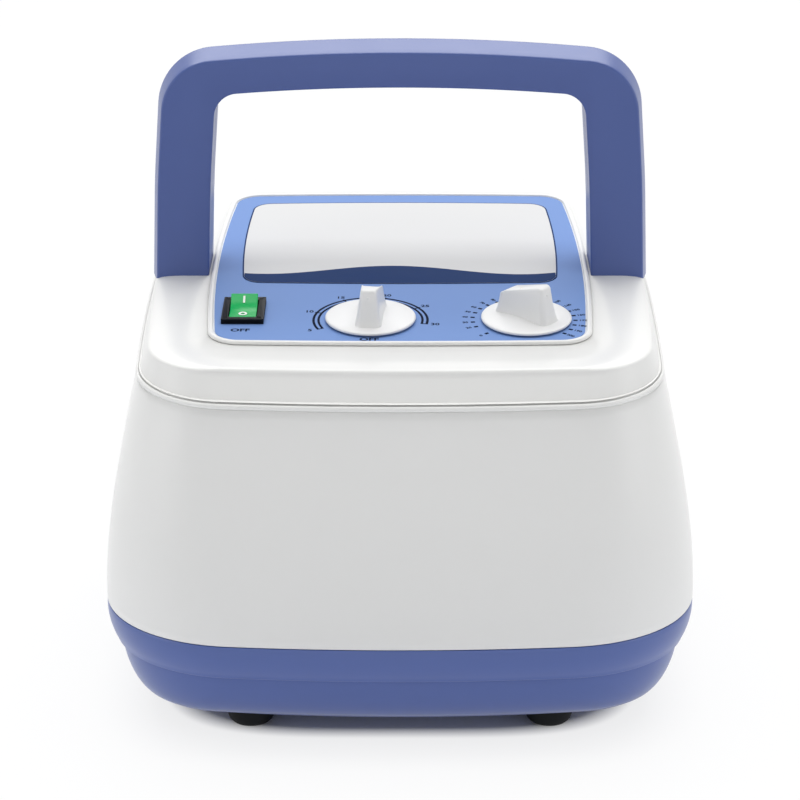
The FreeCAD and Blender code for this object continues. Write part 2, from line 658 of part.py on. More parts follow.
def control_panel():
    flange = v("panel_flange")
    outline = label_outline(v("frame_margin"))
    plate = raised(outline, 0, flange)
    rim = raised(outline, flange, v("frame_rise")).cut(
        raised(label_outline(v("frame_margin") - v("frame_width")), flange, v("frame_rise")))
    plug = raised(label_outline(-v("window_inset") - v("window_gap")), flange - v("panel_plate"), 0)
    panel = plate.fuse([rim, plug]).cut(panel_holes())
    node_from_shape(panel, "control_panel", panel_placement())


def labels():
    low = v("panel_flange")
    high = v("label_top")
    label = raised(label_outline(0), low, high).cut(panel_holes())
    node_from_shape(label, "panel_label", panel_placement())
    info = panel_face(v("info_half_width"), v("info_half_length"), v("info_corner"),
                      v("label_bow") * 0.5, v("label_end_bow"), v("info_middle"))
    node_from_shape(raised(info, high, high + v("info_thickness")), "info_label", panel_placement())


# ---------------------------------------------------------------- handle

def rounded_wire(corners):
    """A closed outline of straight runs joined by tangent arcs; corners are (x, z, radius)."""
    points = [Vector(x, 0, z) for x, z, _ in corners]
    edges = []
    starts = []
    ends = []
    for k, point in enumerate(points):
        before = (points[k - 1] - point).normalize()
        after = (points[(k + 1) % len(points)] - point).normalize()
        radius = corners[k][2]
        if radius == 0:
            starts.append(point)
            ends.append(point)
            continue
        half = before.getAngle(after) / 2
        reach = radius / math.tan(half)
        centre = point + (before + after).normalize() * (radius / math.sin(half))
        starts.append(point + before * reach)
        ends.append(point + after * reach)
        middle = centre + (point - centre).normalize() * radius
        edges.append((k, Part.Arc(starts[-1], middle, ends[-1]).toShape()))
    arcs = dict(edges)
    chain = []
    for k in range(len(points)):
        if k in arcs:
            chain.append(arcs[k])
        following = starts[(k + 1) % len(points)]
        if (following - ends[k]).Length > 1e-6:
            chain.append(Part.LineSegment(ends[k], following).toShape())
    return Part.Wire(chain)


def crowned(top, half_length, corner):
    """Heights of the middle and the ends of two straight lines that a shallow arc smooths."""
    radius = v("handle_crown_radius")
    slope = (half_length - corner - 1) / radius
    middle = top + radius * (math.sqrt(1 + slope ** 2) - 1)
    return middle, middle - half_length * slope


def arch_wire(side_grow, top_grow, y):
    """The handle's outline with its outside grown and its legs ending below the lid's top."""
    low = v("lid_height") - v("handle_root")
    knee = v("handle_knee_height")
    slope = v("handle_top_lean") / (v("handle_top") - knee)
    sweep = v("handle_crown_radius")

    def side(foot, top, corner):
        """Leg foot, knee and shoulder of one outline, and the height of its crown."""
        knee_x = foot - v("handle_knee_lean")
        shoulder_x = knee_x - slope * (top - knee)
        crown, shoulder = crowned(top, shoulder_x, corner)
        return foot, knee_x, shoulder_x, shoulder, crown

    outer = v("handle_corner") + side_grow
    inner = v("handle_inner_corner")
    foot, knee_x, shoulder_x, shoulder, crown = side(
        v("handle_half_width") + side_grow, v("handle_top") + top_grow, outer)
    in_foot, in_knee_x, in_shoulder_x, in_shoulder, in_crown = side(
        v("handle_half_width") - v("handle_leg"), v("handle_top") - v("handle_bar"), inner)
    wire = rounded_wire([
        (-foot, low, 0), (-knee_x, knee, sweep / 2), (-shoulder_x, shoulder, outer), (0, crown, sweep),
        (shoulder_x, shoulder, outer), (knee_x, knee, sweep / 2), (foot, low, 0),
        (in_foot, low, 0), (in_knee_x, knee, sweep / 2), (in_shoulder_x, in_shoulder, inner),
        (0, in_crown, sweep), (-in_shoulder_x, in_shoulder, inner), (-in_knee_x, knee, sweep / 2),
        (-in_foot, low, 0)])
    wire.translate(Vector(0, y, 0))
    return wire


def handle_half(label, end):
    front = end * v("handle_front")
    solid = Part.makeLoft([arch_wire(0, 0, front),
                           arch_wire(v("handle_side_crest"), v("handle_top_crest"), 0)], True, True)
    solid = solid.cut(lid_outside())
    holes = []
    for side in (-1, 1):
        drop = v("lid_edge_drop")
        hole = Part.makeCylinder(v("screw_radius") + v("fit_gap"), v("handle_screw_hole") + drop,
                                 Vector(0, 0, -drop))
        hole.Placement = leg_frame(side, end)
        holes.append(hole)
    node_from_shape(solid.cut(holes), label)


# ---------------------------------------------------------------- screws and feet

def screw(head_radius, head_height, radius, length, x, y, z, facing):
    """A round-headed screw: the head's seat is at the given place and the shank points on."""
    opposite = {"up": "down", "down": "up", "left": "right", "right": "left", "back": "front",
                "front": "back"}[facing]
    head = cylinder(head_radius, head_height, x, y, z, opposite)
    shank = cylinder(radius, length, x, y, z, facing)
    return fuse(head, shank)


def screws_and_feet():
    case = []
    chassis = []
    feet_screws = []
    for side, end in CORNERS:
        case.append(screw("screw_head", "screw_head_height - head_recess_gap", "screw_radius",
                          "seam_height - tray_underside - screw_head_height + post_height - 5",
                          f"{side} * case_screw_x", f"{end} * case_screw_y",
                          "tray_underside + screw_head_height", "up"))
        chassis.append(screw("screw_head", "screw_head_height", "screw_radius", "chassis_screw_length",
                             f"{side} * standoff_x", f"{end} * standoff_y",
                             "chassis_height + chassis_thickness", "down"))
        feet_screws.append(screw("screw_head", "screw_head_height", "screw_radius",
                                 "chassis_height - foot_screw_drop - screw_head_height - foot_seat",
                                 f"{side} * foot_x", f"{end} * foot_y", "screw_head_height + foot_seat",
                                 "up"))
    group(case, "case_screws")
    group(chassis, "chassis_screws")
    group(feet_screws, "foot_screws")
    panel_facing_screws()
    feet = []
    for number, (side, end) in enumerate(CORNERS, 1):
        foot = doc.addObject("PartDesign::Body", f"Foot{number}")
        profile = new_sketch(foot, f"FootProfile{number}", "XZ_Plane")
        draw_polygon(profile, [
            ("screw_head + head_recess_gap", "0"), ("foot_base_radius", "0"),
            ("foot_base_radius + (foot_radius - foot_base_radius) * 0.62", "tray_underside * 0.2"),
            ("foot_radius", "tray_underside * 0.6"), ("foot_radius", "tray_underside"),
            ("foot_bore", "tray_underside"), ("foot_bore", "screw_head_height + foot_seat"),
            ("screw_head + head_recess_gap", "screw_head_height + foot_seat")])
        revolve(foot, profile, f"FootTurn{number}")
        place(foot, f"{side} * foot_x", f"{end} * foot_y", "0")
        feet.append(foot)
    group(feet, "rubber_feet")


def panel_facing_screws():
    """Screws square to the tilted lid: four hold the lid, four the handle."""
    lid_set = []
    handle_set = []
    joint = Placement(Vector(0, 0, v("lid_joint_height")), Rotation(Vector(1, 0, 0), v("panel_tilt")))
    for side, end in CORNERS:
        seat = -v("bracket_thickness")
        head = Part.makeCylinder(v("screw_head"), v("screw_head_height"),
                                 Vector(0, 0, seat), Vector(0, 0, -1))
        shank = Part.makeCylinder(v("screw_radius"), v("bracket_thickness") + 4, Vector(0, 0, seat))
        lid_screw = head.fuse(shank)
        lid_screw.translate(Vector(side * v("lid_screw_x"), end * v("lid_screw_y"), 0))
        lid_screw = lid_screw.transformGeometry(joint.toMatrix())
        lid_set.append(lid_screw)
        under = -v("shell_wall")
        head = Part.makeCylinder(v("screw_head"), v("screw_head_height"),
                                 Vector(0, 0, under), Vector(0, 0, -1))
        shank = Part.makeCylinder(v("screw_radius"), v("shell_wall") + v("handle_screw_grip"),
                                  Vector(0, 0, under))
        handle_screw = head.fuse(shank)
        handle_set.append(handle_screw.transformGeometry(leg_frame(side, end).toMatrix()))
    node_from_shape(Part.makeCompound(lid_set), "lid_screws")
    node_from_shape(Part.makeCompound(handle_set), "handle_screws")


# ---------------------------------------------------------------- switch

def rocker_switch():
    top = "label_top"
    x = "switch_x"
    row = "switch_row"
    bezel = panel_box("bezel_width", "bezel_length", "bezel_thickness", x, row, top)
    case = panel_box("switch_width", "switch_length", "switch_depth", x, row, f"{top} - switch_depth")
    well = panel_box("switch_well_width", "switch_well_length", "switch_well_depth + 1", x, row,
                     f"{top} + bezel_thickness - switch_well_depth")
    pin_hole = doc.addObject("Part::Cylinder", "PinHole")
    bind(pin_hole, "Radius", "rocker_pin_radius + fit_gap")
    bind(pin_hole, "Height", "switch_width + 4")
    place_on_panel(pin_hole, f"{x} - switch_width / 2 - 2", row, f"{top} - rocker_pivot_sink")
    pin_hole.Placement = Placement(pin_hole.Placement.Base, TURNS["right"])
    node(cut(fuse(bezel, case), well, pin_hole), "switch_body")
    tabs = []
    for step in (-1, 0, 1):
        tabs.append(panel_box("tab_width", "tab_thickness", "tab_length", x,
                              f"{row} + {step} * tab_spacing",
                              f"{top} - switch_depth - tab_length"))
    group(tabs, "switch_terminals")


def switch_rocker():
    """Rest pose is off: the front end is pressed in."""
    reach = v("rocker_reach")
    outline = [(-reach, 1.0), (-reach, v("rocker_rise")), (0, v("rocker_waist")),
               (reach, v("rocker_rise")), (reach, 1.0), (v("rocker_keel_half"), -v("rocker_keel")),
               (-v("rocker_keel_half"), -v("rocker_keel"))]
    width = v("rocker_width")
    points = [Vector(-width / 2, y, z) for y, z in outline]
    rocker = Part.Face(Part.makePolygon(points + points[:1])).extrude(Vector(width, 0, 0))
    pin = Part.makeCylinder(v("rocker_pin_radius"), 2 * v("rocker_pin_reach"),
                            Vector(-v("rocker_pin_reach"), 0, 0), Vector(1, 0, 0))
    rocker = rocker.fuse(pin)
    rocker.rotate(Vector(), Vector(1, 0, 0), v("rocker_angle"))
    pivot = Vector(v("switch_x"), v("switch_row"), v("label_top") - v("rocker_pivot_sink"))
    rocker.translate(pivot)
    node_from_shape(rocker, "switch_rocker", panel_placement())


# ---------------------------------------------------------------- knobs, timer and bleed valve

def knob(label, x, turned):
    """A flat round skirt with a raised grip bar; the bar's narrow end is the pointer."""
    body = new_body(label)
    profile = new_sketch(body, "SkirtProfile", "XZ_Plane")
    draw_polygon(profile, [
        ("0", "0"), ("knob_radius", "0"), ("knob_radius", "knob_skirt * 0.5"),
        ("knob_top_radius", "knob_skirt"), ("nut_recess_radius + 0.7", "nut_recess + 0.8"),
        ("0", "nut_recess + 1.2")])
    revolve(body, profile, "Skirt")
    grip = new_sketch(body, "GripOutline", "XY_Plane", "knob_skirt * 0.6")
    draw_polygon(grip, [
        ("-grip_width / 2 - 0.6", "-grip_length / 2 + 3"), ("-grip_width / 2 + 1", "-grip_length / 2"),
        ("grip_width / 2 - 1", "-grip_length / 2"), ("grip_width / 2 + 0.6", "-grip_length / 2 + 3"),
        ("grip_width / 2 + 1.2", "grip_length / 2 - 2.2"), ("grip_width / 2 - 0.8", "grip_length / 2"),
        ("-grip_width / 2 + 0.8", "grip_length / 2"), ("-grip_width / 2 - 1.2", "grip_length / 2 - 2.2")])
    pad(body, grip, "knob_height - knob_skirt * 0.6", "-grip_taper", "Grip")
    slope = new_sketch(body, "RearSlope", "YZ_Plane")
    draw_polygon(slope, [("0", "knob_height + 1"), ("0", "knob_height"),
                         ("grip_length / 2 + 1", "knob_height - grip_drop"),
                         ("grip_length / 2 + 1", "knob_height + 1")])
    pocket(body, slope, "grip_width + 4", "SlopeCut", middle=True)
    recess = new_sketch(body, "NutRecess", "XY_Plane")
    draw_circle(recess, "nut_recess_radius")
    pocket(body, recess, "nut_recess", "NutRecessCut", True)
    bore = new_sketch(body, "Bore", "XY_Plane")
    draw_circle(bore, "shaft_radius + fit_gap")
    pocket(body, bore, "shaft_top", "BoreCut", True)
    place_on_panel(body, x, "0", "label_top + knob_clearance", turned)
    return body


def hex_nut(label, x):
    body = new_body(label)
    outline = new_sketch(body, "Outline")
    corners = []
    for k in range(6):
        corners.append((f"nut_across / 2 / cos(30) * cos({60 * k + 30})",
                        f"nut_across / 2 / cos(30) * sin({60 * k + 30})"))
    draw_polygon(outline, corners)
    draw_circle(outline, "bushing_radius + fit_gap")
    pad(body, outline, "nut_thickness")
    place_on_panel(body, x, "0", "label_top")


def turned_shaft(label, x, depth):
    """A plain shaft from inside the case up into the knob."""
    body = new_body(label)
    profile = new_sketch(body, "Profile", "XZ_Plane")
    draw_polygon(profile, [("0", "0"), ("shaft_radius * 0.4", "0"), ("shaft_radius", "shaft_radius"),
                           ("shaft_radius", f"{depth} + shaft_top"), ("0", f"{depth} + shaft_top")])
    revolve(body, profile)
    place_on_panel(body, x, "0", f"-({depth}) + label_top + knob_clearance - shaft_seat")


def timer_case():
    body = new_body("timer_case")
    outline = new_sketch(body, "CaseOutline", "XY_Plane")
    draw_polygon(outline, rectangle_points("timer_case_width", "timer_case_length"))
    pad(body, outline, "timer_case_depth", None, "Case")
    bush = new_sketch(body, "BushOutline", "XY_Plane", "timer_case_depth")
    draw_circle(bush, "bushing_radius")
    pad(body, bush, "panel_plate + label_thickness + bushing_rise - 1", None, "Bush")
    bore = new_sketch(body, "BoreOutline", "XY_Plane", "timer_case_depth - shaft_depth")
    draw_circle(bore, "shaft_radius + fit_gap")
    pocket(body, bore, "shaft_depth + 20", "Bore", True)
    place_on_panel(body, "timer_x", "0", "panel_flange - panel_plate - timer_case_depth")


def bleed_valve():
    body = new_body("bleed_valve_body")
    outline = new_sketch(body, "BlockOutline", "XY_Plane")
    draw_polygon(outline, rectangle_points("valve_width", "valve_width"))
    pad(body, outline, "valve_depth", None, "Block")
    bush = new_sketch(body, "BushOutline", "XY_Plane", "valve_depth")
    draw_circle(bush, "bushing_radius")
    pad(body, bush, "panel_plate + label_thickness + bushing_rise - 1", None, "Bush")
    bore = new_sketch(body, "BoreOutline", "XY_Plane", "valve_depth - needle_depth")
    draw_circle(bore, "shaft_radius + fit_gap")
    pocket(body, bore, "needle_depth + 20", "Bore", True)
    place_on_panel(body, "pressure_x", "0", "panel_flange - panel_plate - valve_depth")


def barb(x, y, z, facing):
    """A short hose barb with a through bore, standing on a face."""
    outside = cylinder("barb_radius", "barb_length", x, y, z, facing)
    bore = cylinder("barb_bore", "barb_length", x, y, z, facing)
    return cut(outside, bore)


# ---------------------------------------------------------------- chassis and pump

def chassis():
    body = new_body("chassis_plate")
    outline = new_sketch(body, "PlateOutline")
    draw_polygon(outline, rectangle_points("chassis_width", "chassis_depth"))
    pad(body, outline, "chassis_thickness", None, "Plate")
    plate = body.Tip
    rounding = body.newObject("PartDesign::Fillet", "Corners")
    upright = [f"Edge{k}" for k, edge in enumerate(body.Shape.Edges, 1)
               if abs(edge.Vertexes[0].Z - edge.Vertexes[1].Z) > 0.1]
    rounding.Base = (plate, upright)
    bind(rounding, "Radius", "chassis_corner")
    doc.recompute()
    holes = new_sketch(body, "ScrewHoles")
    for side, end in CORNERS:
        draw_circle(holes, "screw_radius + fit_gap", f"{side} * standoff_x", f"{end} * standoff_y")
    pocket(body, holes, "chassis_thickness", "ScrewHoleCut", True)
    place(body, "0", "0", "chassis_height")


PUMP_FLOOR = "chassis_height + chassis_thickness + mount_height"
HEAD_FACE = "pump_wall_x + pump_wall + diaphragm_thickness"


def pump():
    mounts = []
    for side, end in CORNERS:
        mounts.append(cylinder("mount_radius", "mount_height", f"{side} * mount_x",
                               f"pump_y + {end} * mount_y", "chassis_height + chassis_thickness"))
    group(mounts, "vibration_mounts")
    pump_frame()
    magnets_and_coils()
    armature()
    rings = []
    heads = []
    head_bolts = []
    filters = []
    outlets = []
    for side, facing in ((1, "right"), (-1, "left")):
        ring_x = f"{side} * (pump_wall_x + pump_wall)"
        ring = cylinder("diaphragm_radius", "diaphragm_thickness", ring_x, "pump_y",
                        "pump_axis_height", facing)
        hole = cylinder("hub_radius + fit_gap", "diaphragm_thickness", ring_x, "pump_y",
                        "pump_axis_height", facing)
        rings.append(cut(ring, hole))
        face = f"{side} * ({HEAD_FACE})"
        head = box("head_thickness", "head_size", "head_size", f"{side} * ({HEAD_FACE} + head_thickness / 2)",
                   "pump_y", "pump_axis_height - head_size / 2")
        chamber = cylinder("head_chamber_radius", "head_chamber", face, "pump_y", "pump_axis_height", facing)
        bolt_holes = []
        for up, along in CORNERS:
            y = f"pump_y + {along} * head_screw_offset"
            z = f"pump_axis_height + {up} * head_screw_offset"
            bolt_holes.append(cylinder("small_screw_radius + fit_gap", "head_thickness", face, y, z, facing))
            inward = "left" if side > 0 else "right"
            seat = f"{side} * ({HEAD_FACE} + head_thickness)"
            head_bolts.append(screw("small_screw_head", "screw_head_height", "small_screw_radius",
                                    "head_thickness + diaphragm_thickness + pump_wall",
                                    seat, y, z, inward))
        heads.append(cut(head, chamber, *bolt_holes))
        middle = f"{side} * ({HEAD_FACE} + head_thickness / 2 + 1)"
        filters.append(cylinder("filter_radius - 1.5", "filter_height", middle, "pump_y",
                                "pump_axis_height + head_size / 2"))
        outlets.append(barb(middle, "pump_y + head_size / 2", "pump_axis_height", "back"))
    group(rings, "diaphragms")
    group(heads, "pump_heads")
    group(head_bolts, "head_screws")
    group(filters, "intake_filters")
    group(outlets, "pump_outlets")


def pump_frame():
    base = box("pump_base_width", "pump_base_depth", "pump_base_thickness", "0", "pump_y", PUMP_FLOOR)
    solids = [base]
    holes = []
    for side, facing in ((1, "right"), (-1, "left")):
        solids.append(box("pump_wall", "head_size", f"pump_axis_height + head_size / 2 - ({PUMP_FLOOR})",
                          f"{side} * (pump_wall_x + pump_wall / 2)", "pump_y", PUMP_FLOOR))
        wall_x = f"{side} * pump_wall_x"
        holes.append(cylinder("head_chamber_radius", "pump_wall", wall_x, "pump_y", "pump_axis_height",
                              facing))
        for up, along in CORNERS:
            holes.append(cylinder("small_screw_radius + fit_gap", "pump_wall", wall_x,
                                  f"pump_y + {along} * head_screw_offset",
                                  f"pump_axis_height + {up} * head_screw_offset", facing))
        for end in (-1, 1):
            solids.append(box("core_leg", "core_yoke",
                              f"pump_axis_height - core_height / 2 - ({PUMP_FLOOR})",
                              f"{side} * (core_length / 2 - core_leg / 2)",
                              f"pump_y + {end} * (core_offset + core_yoke / 2)", PUMP_FLOOR))
    node(cut(fuse(*solids), *holes), "pump_frame")


def magnets_and_coils():
    cores = []
    coils = []
    low = "pump_axis_height - core_height / 2"
    for end in (-1, 1):
        yoke_y = f"pump_y + {end} * (core_offset + core_yoke / 2)"
        yoke = box("core_length", "core_yoke", "core_height", "0", yoke_y, low)
        leg_length = "core_offset - core_gap"
        leg_y = f"pump_y + {end} * (core_gap + ({leg_length}) / 2)"
        legs = [box("core_leg", leg_length, "core_height", f"{side} * (core_length / 2 - core_leg / 2)",
                    leg_y, low) for side in (-1, 1)]
        cores.append(fuse(yoke, *legs))
        winding = box("coil_length", "core_yoke + 2 * coil_build", "core_height + 2 * coil_build",
                      "0", yoke_y,
                      f"{low} - coil_build")
        hollow = box("coil_length", "core_yoke + 2 * coil_gap", "core_height + 2 * coil_gap", "0", yoke_y,
                     f"{low} - coil_gap")
        coils.append(cut(winding, hollow))
    group(cores, "magnet_cores")
    group(coils, "drive_coils")


def armature():
    bar = box("2 * pump_wall_x - 4", "armature_width", "armature_height", "0", "pump_y",
              "pump_axis_height - armature_height / 2")
    solids = [bar]
    for side, facing in ((1, "right"), (-1, "left")):
        solids.append(cylinder("hub_radius", "hub_reach - pump_wall_x + 3", f"{side} * (pump_wall_x - 3)",
                               "pump_y", "pump_axis_height", facing))
        solids.append(box("magnet_length", "magnet_width", "magnet_height", f"{side} * magnet_x",
                          "pump_y", "pump_axis_height - magnet_height / 2"))
    node(fuse(*solids), "armature")


# ---------------------------------------------------------------- distributor

BLOCK_FLOOR = "cover_height + cover_thickness"


def distributor():
    floor = "chassis_height + chassis_thickness"
    can = cylinder("motor_radius", "motor_height", "0", "valve_y", floor)
    socket = cylinder("motor_shaft_radius + fit_gap", "motor_shaft_depth", "0", "valve_y",
                      f"{floor} + motor_height - motor_shaft_depth")
    node(cut(can, socket), "distributor_motor")
    plate = box("block_width", "block_depth", "cover_thickness", "0", "valve_y", "cover_height")
    legs = [cylinder("valve_leg_radius", f"cover_height - ({floor})", f"{side} * valve_leg_x",
                     f"valve_y + {end} * valve_leg_y", floor) for side, end in CORNERS]
    shaft_hole = cylinder("motor_shaft_radius + 0.5", "cover_thickness", "0", "valve_y", "cover_height")
    node(cut(fuse(plate, *legs), shaft_hole), "distributor_cover")
    block = box("block_width", "block_depth", "block_height", "0", "valve_y", BLOCK_FLOOR)
    chamber = cylinder("rotor_radius + fit_gap", "rotor_thickness + 2 * rotor_gap",
                       "0", "valve_y", BLOCK_FLOOR)
    node(cut(block, chamber), "distributor_body")
    disc = cylinder("rotor_radius", "rotor_thickness", "0", "valve_y", f"{BLOCK_FLOOR} + rotor_gap")
    slot = box("rotor_radius / 2", "6", "rotor_thickness", "rotor_radius * 0.6", "valve_y",
               f"{BLOCK_FLOOR} + rotor_gap")
    hub_hole = cylinder("motor_shaft_radius + fit_gap / 2", "rotor_thickness", "0", "valve_y",
                        f"{BLOCK_FLOOR} + rotor_gap")
    node(cut(disc, slot, hub_hole), "distributor_rotor")
    shaft_start = f"{floor} + motor_height - motor_shaft_depth + 0.5"
    shaft = cylinder("motor_shaft_radius", f"{BLOCK_FLOOR} + rotor_thickness - ({shaft_start})",
                     "0", "valve_y",
                     shaft_start)
    node(shaft, "distributor_shaft")
    barbs = [barb(f"{k - 1.5} * port_spacing", "valve_y + block_depth / 2", "pump_axis_height", "back")
             for k in range(4)]
    barbs.append(barb("block_width / 2", "valve_y", "pump_axis_height", "right"))
    barbs.append(barb("-block_width / 2", "valve_y", "pump_axis_height", "left"))
    barbs.append(barb("bleed_x", "valve_y", f"{BLOCK_FLOOR} + block_height", "up"))
    group(barbs, "distributor_barbs")


# ---------------------------------------------------------------- tubes and leads

def route_wire(points, bend):
    """Straight runs joined by tangent arcs."""
    edges = []
    start = points[0]
    for k in range(1, len(points) - 1):
        before = (points[k - 1] - points[k]).normalize()
        after = (points[k + 1] - points[k]).normalize()
        half = before.getAngle(after) / 2
        shorter = min((points[k - 1] - points[k]).Length, (points[k + 1] - points[k]).Length)
        radius = min(bend, 0.45 * shorter * math.tan(half))
        reach = radius / math.tan(half)
        centre = points[k] + (before + after).normalize() * (radius / math.sin(half))
        enter = points[k] + before * reach
        leave = points[k] + after * reach
        edges.append(Part.LineSegment(start, enter).toShape())
        middle = centre + (points[k] - centre).normalize() * radius
        edges.append(Part.Arc(enter, middle, leave).toShape())
        start = leave
    edges.append(Part.LineSegment(start, points[-1]).toShape())
    return Part.Wire(edges)


def swept(points, radius, bend):
    path = route_wire(points, bend)
    section = Part.Wire([Part.makeCircle(radius, points[0], points[1] - points[0])])
    solid = path.makePipeShell([section], True, False)
    expected = math.pi * radius ** 2 * path.Length
    if abs(solid.Volume - expected) > 0.02 * expected:
        raise ValueError("a swept tube has the wrong volume")
    return solid


def hollow_tube(points, bend):
    bore = v("barb_radius") + v("fit_gap")
    return swept(points, bore + v("tube_wall"), bend).cut(swept(points, bore, bend))


def air_tubes():
    height = v("pump_axis_height")
    half_block = v("block_width") / 2
    head_x = v("pump_wall_x") + v("pump_wall") + v("diaphragm_thickness") + v("head_thickness") / 2 + 1
    head_y = v("pump_y") + v("head_size") / 2 + v("seat_gap")
    feeds = []
    for side in (-1, 1):
        feeds.append(hollow_tube([
            Vector(side * head_x, head_y, height), Vector(side * head_x, v("valve_y"), height),
            Vector(side * (half_block + v("seat_gap")), v("valve_y"), height)], v("tube_bend")))
    node_from_shape(Part.makeCompound(feeds), "feed_tubes")
    outlets = []
    block_back = v("valve_y") + v("block_depth") / 2 + v("seat_gap")
    for k in range(4):
        x = (k - 1.5) * v("port_spacing")
        bore = v("barb_radius") + v("fit_gap")
        length = v("bay_floor") - v("seat_gap") - block_back
        start = Vector(x, block_back, height)
        tube = Part.makeCylinder(bore + v("tube_wall"), length, start, Vector(0, 1, 0))
        outlets.append(tube.cut(Part.makeCylinder(bore, length, start, Vector(0, 1, 0))))
    node_from_shape(Part.makeCompound(outlets), "outlet_tubes")
    bleed = bleed_barb_place()
    top = v("cover_height") + v("cover_thickness") + v("block_height") + v("seat_gap")
    start = bleed + Vector(0, v("seat_gap") + (v("barb_radius") + v("tube_wall")) * math.tan(TILT), 0)
    node_from_shape(hollow_tube([
        start, start + Vector(0, v("bleed_run"), 0),
        Vector(v("bleed_x"), v("valve_y"), bleed.z - v("bleed_fall")),
        Vector(v("bleed_x"), v("valve_y"), top)], v("bleed_bend")), "bleed_tube")


def bleed_barb_place():
    """The flat at the back of the bleed valve where its barb stands, pointing level to the rear."""
    depth = v("panel_plate") - v("panel_flange") + v("valve_depth") * 0.55
    along = v("valve_width") / 2
    y = v("knob_row_y") + along * math.cos(TILT) + depth * math.sin(TILT)
    z = v("lid_height") + v("knob_row_y") * math.tan(TILT) + along * math.sin(TILT) - depth * math.cos(TILT)
    return Vector(v("pressure_x"), y, z)


def bleed_barb():
    spot = bleed_barb_place()
    back = Vector(0, 1, 0)
    face = Placement(spot, Rotation(Vector(1, 0, 0), v("panel_tilt")))
    stem = Part.makeCylinder(v("barb_radius"), v("barb_length") + 2, spot - back * 2, back)
    width = v("valve_width")
    block = Part.makeBox(width, width, width, Vector(-width / 2, -width, -width / 2))
    block.Placement = face
    hole = Part.makeCylinder(v("barb_bore"), 2 * v("barb_length"), spot - back * 4, back)
    node_from_shape(stem.cut(block).cut(hole), "bleed_valve_barb")


# ---------------------------------------------------------------- rear bay

def outlet_block():
    plate_y = "bay_floor + outlet_plate_thickness / 2"
    plate = box("outlet_plate_width", "outlet_plate_thickness", "outlet_plate_height", "0", plate_y,
                "pump_axis_height - outlet_plate_height / 2")
    solids = [plate]
    holes = []
    for k in range(4):
        x = f"{k - 1.5} * port_spacing"
        solids.append(cylinder("nipple_radius", "outlet_plate_thickness + nipple_length", x, "bay_floor",
                               "pump_axis_height", "back"))
        solids.append(cylinder("barb_radius", "barb_length + shell_wall", x,
                               "bay_floor - barb_length - shell_wall", "pump_axis_height", "back"))
        holes.append(cylinder("barb_bore",
                              "barb_length + shell_wall + outlet_plate_thickness + nipple_length",
                              x, "bay_floor - barb_length - shell_wall", "pump_axis_height", "back"))
    bolts = []
    for side in (-1, 1):
        x = f"{side} * outlet_screw_x"
        holes.append(cylinder("small_screw_radius + fit_gap", "outlet_plate_thickness", x, "bay_floor",
                              "pump_axis_height", "back"))
        bolts.append(screw("small_screw_head", "screw_head_height", "small_screw_radius",
                           "outlet_plate_thickness + shell_wall + screw_bite", x,
                           "bay_floor + outlet_plate_thickness",
                           "pump_axis_height", "front"))
    node(cut(fuse(*solids), *holes), "outlet_block")
    group(bolts, "outlet_screws")


def power_inlet():
    z = "inlet_height"
    flange = box("inlet_flange_width", "inlet_flange", "inlet_flange_height", "inlet_x",
                 "bay_floor + inlet_flange / 2", f"{z} - inlet_flange_height / 2")
    case = box("inlet_width", "inlet_depth", "inlet_length", "inlet_x", "bay_floor - inlet_depth / 2",
               f"{z} - inlet_length / 2")
    cavity = box("inlet_width - 2 * inlet_wall", "inlet_depth + inlet_flange - inlet_wall",
                 "inlet_length - 2 * inlet_wall", "inlet_x",
                 "bay_floor - inlet_depth + inlet_wall + (inlet_depth + inlet_flange - inlet_wall) / 2",
                 f"{z} - inlet_length / 2 + inlet_wall")
    holes = []
    pins = []
    bolts = []
    for side in (-1, 1):
        at = f"{z} + {side} * inlet_screw_spacing / 2"
        holes.append(cylinder("small_screw_radius + fit_gap", "inlet_flange",
                              "inlet_x", "bay_floor", at, "back"))
        bolts.append(screw("small_screw_head", "thin_head_height", "small_screw_radius",
                           "inlet_flange + shell_wall + screw_bite",
                           "inlet_x", "bay_floor + inlet_flange", at, "front"))
    blade_length = "inlet_depth + inlet_flange - pin_front + pin_tail"
    blade_y = f"bay_floor + inlet_flange - pin_front - ({blade_length}) / 2"
    for across, up in ((-1, -1), (-1, 1), (1, 0)):
        spot = (f"inlet_x + {across} * pin_offset", blade_y, f"{z} + {up} * pin_spacing - pin_height / 2")
        holes.append(box("pin_width", blade_length, "pin_height", *spot))
        pins.append(box("pin_width", blade_length, "pin_height", *spot))
    node(cut(fuse(flange, case), cavity, *holes), "power_inlet")
    group(pins, "inlet_pins")
    group(bolts, "inlet_screws")


def fuse_holder():
    z = "inlet_height"
    cap = cylinder("fuse_cap_radius", "fuse_cap", "fuse_x", "bay_floor", z, "back")
    stem = cylinder("fuse_radius", "fuse_depth", "fuse_x", "bay_floor", z, "front")
    tail = cylinder("fuse_radius / 3", "fuse_tail", "fuse_x", "bay_floor - fuse_depth", z, "front")
    node(fuse(cap, stem, tail), "fuse_holder")


def terminal_block():
    floor = "chassis_height + chassis_thickness"
    block = box("terminal_width", "terminal_depth", "terminal_height", "terminal_x", "terminal_y", floor)
    screws = []
    for k in range(4):
        screws.append(cylinder("small_screw_head * 0.8", "1", f"terminal_x + {k - 1.5} * terminal_width / 4",
                               "terminal_y", f"{floor} + terminal_height"))
    node(fuse(block, *screws), "terminal_block")


